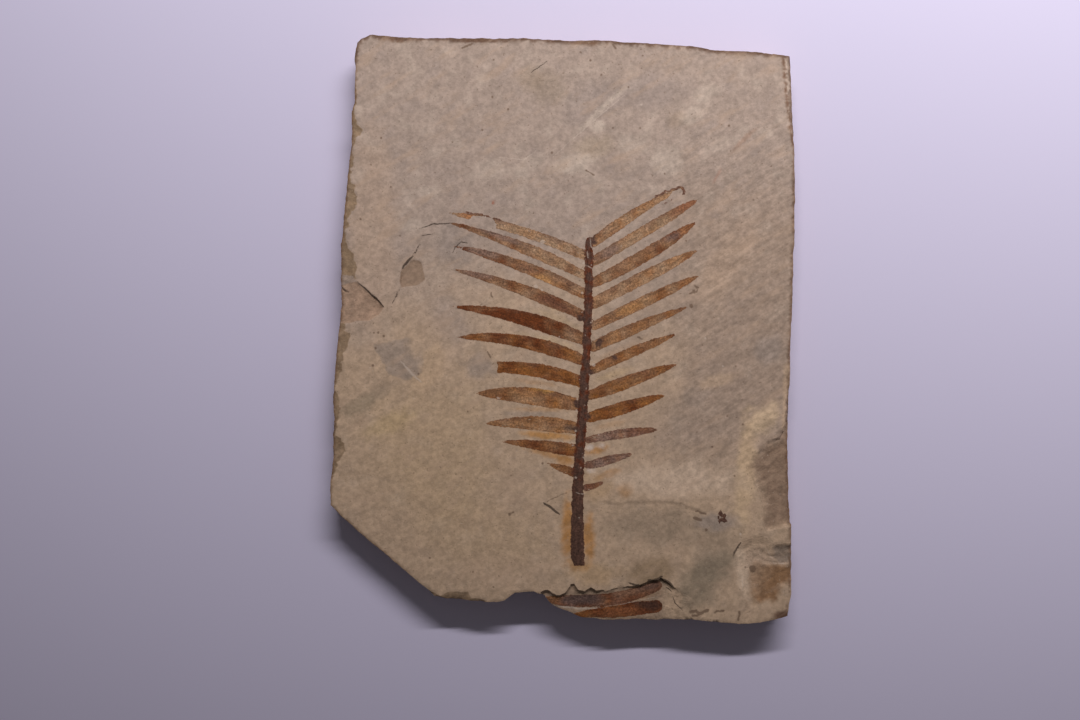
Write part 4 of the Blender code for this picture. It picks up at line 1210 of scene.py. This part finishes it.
def stone_material():
    """Stone, leaf film, and cracks with painted shadow lines along the steps, in one material."""
    material, shader = new_material("fossil_stone")
    nodes = Nodes(material)
    place = nodes.scaled(nodes.add("TexCoord", {}, "Object"), (1000, 1000, 1000))

    film = film_mask(nodes, place)
    colour = nodes.mix(stone_colour(nodes, place), film_colour(nodes, place), film)
    wander = nodes.wander(place, 0.7, 0.9)
    # Cracks, and painted shadow lines along the steps where stone is lost
    crack_and_shadow = nodes.ragged("crack_and_shadow", wander, -0.16, 0.2)
    colour = nodes.mix(colour, rgba(CRACK_AND_SHADOW_DARK), nodes.math("MULTIPLY", crack_and_shadow, 0.85))
    colour = nodes.mix(colour, rgba(SPECK), nodes.ragged("speck", wander, -0.25, 0.4, 0, 0.8))
    colour = nodes.mix(colour, rgba(GRAIN_PALE), nodes.ragged("pale", wander, -0.1, 0.4, 0, 0.52))
    nodes.link(colour, shader.inputs["Base Color"])
    nodes.link(nodes.ramp(film, 0, 1, 0.92, 0.74), shader.inputs["Roughness"])

    coarse = nodes.math("MULTIPLY", nodes.noise(place, 2.6, 4, 0.6), nodes.attribute("broken"))
    sunk = nodes.math("SUBTRACT", nodes.math("MULTIPLY", film, 0.35), crack_and_shadow)
    normal = nodes.bump(nodes.noise(place, 0.9, 5, 0.65), 0.0004, 0.45)
    normal = nodes.bump(coarse, 0.0009, 0.6, normal)
    normal = nodes.bump(sunk, 0.0002, 0.6, normal)
    nodes.link(normal, shader.inputs["Normal"])
    return material


def add_object(name, data, location=(0, 0, 0)):
    """A new object in the scene."""
    obj = bpy.data.objects.new(name, data)
    obj.location = location
    bpy.context.scene.collection.objects.link(obj)
    return obj


def make_plate():
    """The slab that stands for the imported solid."""
    mesh = make_plate_mesh()
    mesh.shade_smooth()
    mesh.set_sharp_from_angle(angle=np.radians(SHARP_ANGLE))
    mesh.materials.append(stone_material())
    plate = add_object("fossil_plate_stone", mesh)
    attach(plate, "root")
    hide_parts("fossil_plate")


# The floor, the lights and the camera
FLOOR_SIZE = 6
FLOOR_COLOUR = (0.72, 0.655, 0.85, 1)
KEY_POSITION = (0.4, 0.804, 1.081)
KEY_TARGET = (0.317, 0.454, 0)
KEY_SIZE = (1.33, 0.06)
KEY_SPREAD = 68.9
KEY_POWER = 5.8
FILL_LEVEL = 0.079
CAMERA_PLACE = (-10.6, -14.1)
FIELD_WIDTH = 499.3
LENS = 60
SENSOR = 36


def make_floor():
    """The plain pale sheet that the plate lies on."""
    bpy.ops.mesh.primitive_plane_add(size=FLOOR_SIZE)
    floor = bpy.context.object
    floor.name = "floor"
    material, shader = new_material("floor_paper")
    shader.inputs["Base Color"].default_value = FLOOR_COLOUR
    shader.inputs["Roughness"].default_value = 0.7
    floor.data.materials.append(material)


def aim_strip(strip):
    """Turn the strip light towards its target, with its length kept along the plate's width."""
    back = (strip.location - Vector(KEY_TARGET)).normalized()
    across = Vector((1, 0, 0))
    across = (across - across.dot(back) * back).normalized()
    turn = Matrix((across, back.cross(across), back)).transposed()
    strip.rotation_euler = turn.to_euler()


def make_lights():
    """A long strip light beyond the plate's upper edge, reaching to the right, and a soft fill."""
    light = bpy.data.lights.new("strip", "AREA")
    light.shape = "RECTANGLE"
    light.size, light.size_y = KEY_SIZE
    light.spread = np.radians(KEY_SPREAD)
    light.energy = KEY_POWER
    aim_strip(add_object("strip", light, KEY_POSITION))

    world = bpy.data.worlds.new("studio")
    world.use_nodes = True
    background = world.node_tree.nodes["Background"]
    background.inputs["Color"].default_value = (1, 1, 1, 1)
    background.inputs["Strength"].default_value = FILL_LEVEL
    bpy.context.scene.world = world


def make_camera():
    """Straight above the plate, with the photograph's framing."""
    camera = bpy.data.cameras.new("camera")
    camera.lens = LENS
    camera.sensor_width = SENSOR
    height = FACE_LEVEL + FIELD_WIDTH * LENS / SENSOR
    place = (CAMERA_PLACE[0] * MM, CAMERA_PLACE[1] * MM, height * MM)
    bpy.context.scene.camera = add_object("camera", camera, place)


def main():
    make_plate()
    make_floor()
    make_lights()
    make_camera()
    bpy.context.scene.view_settings.view_transform = "Standard"


main()
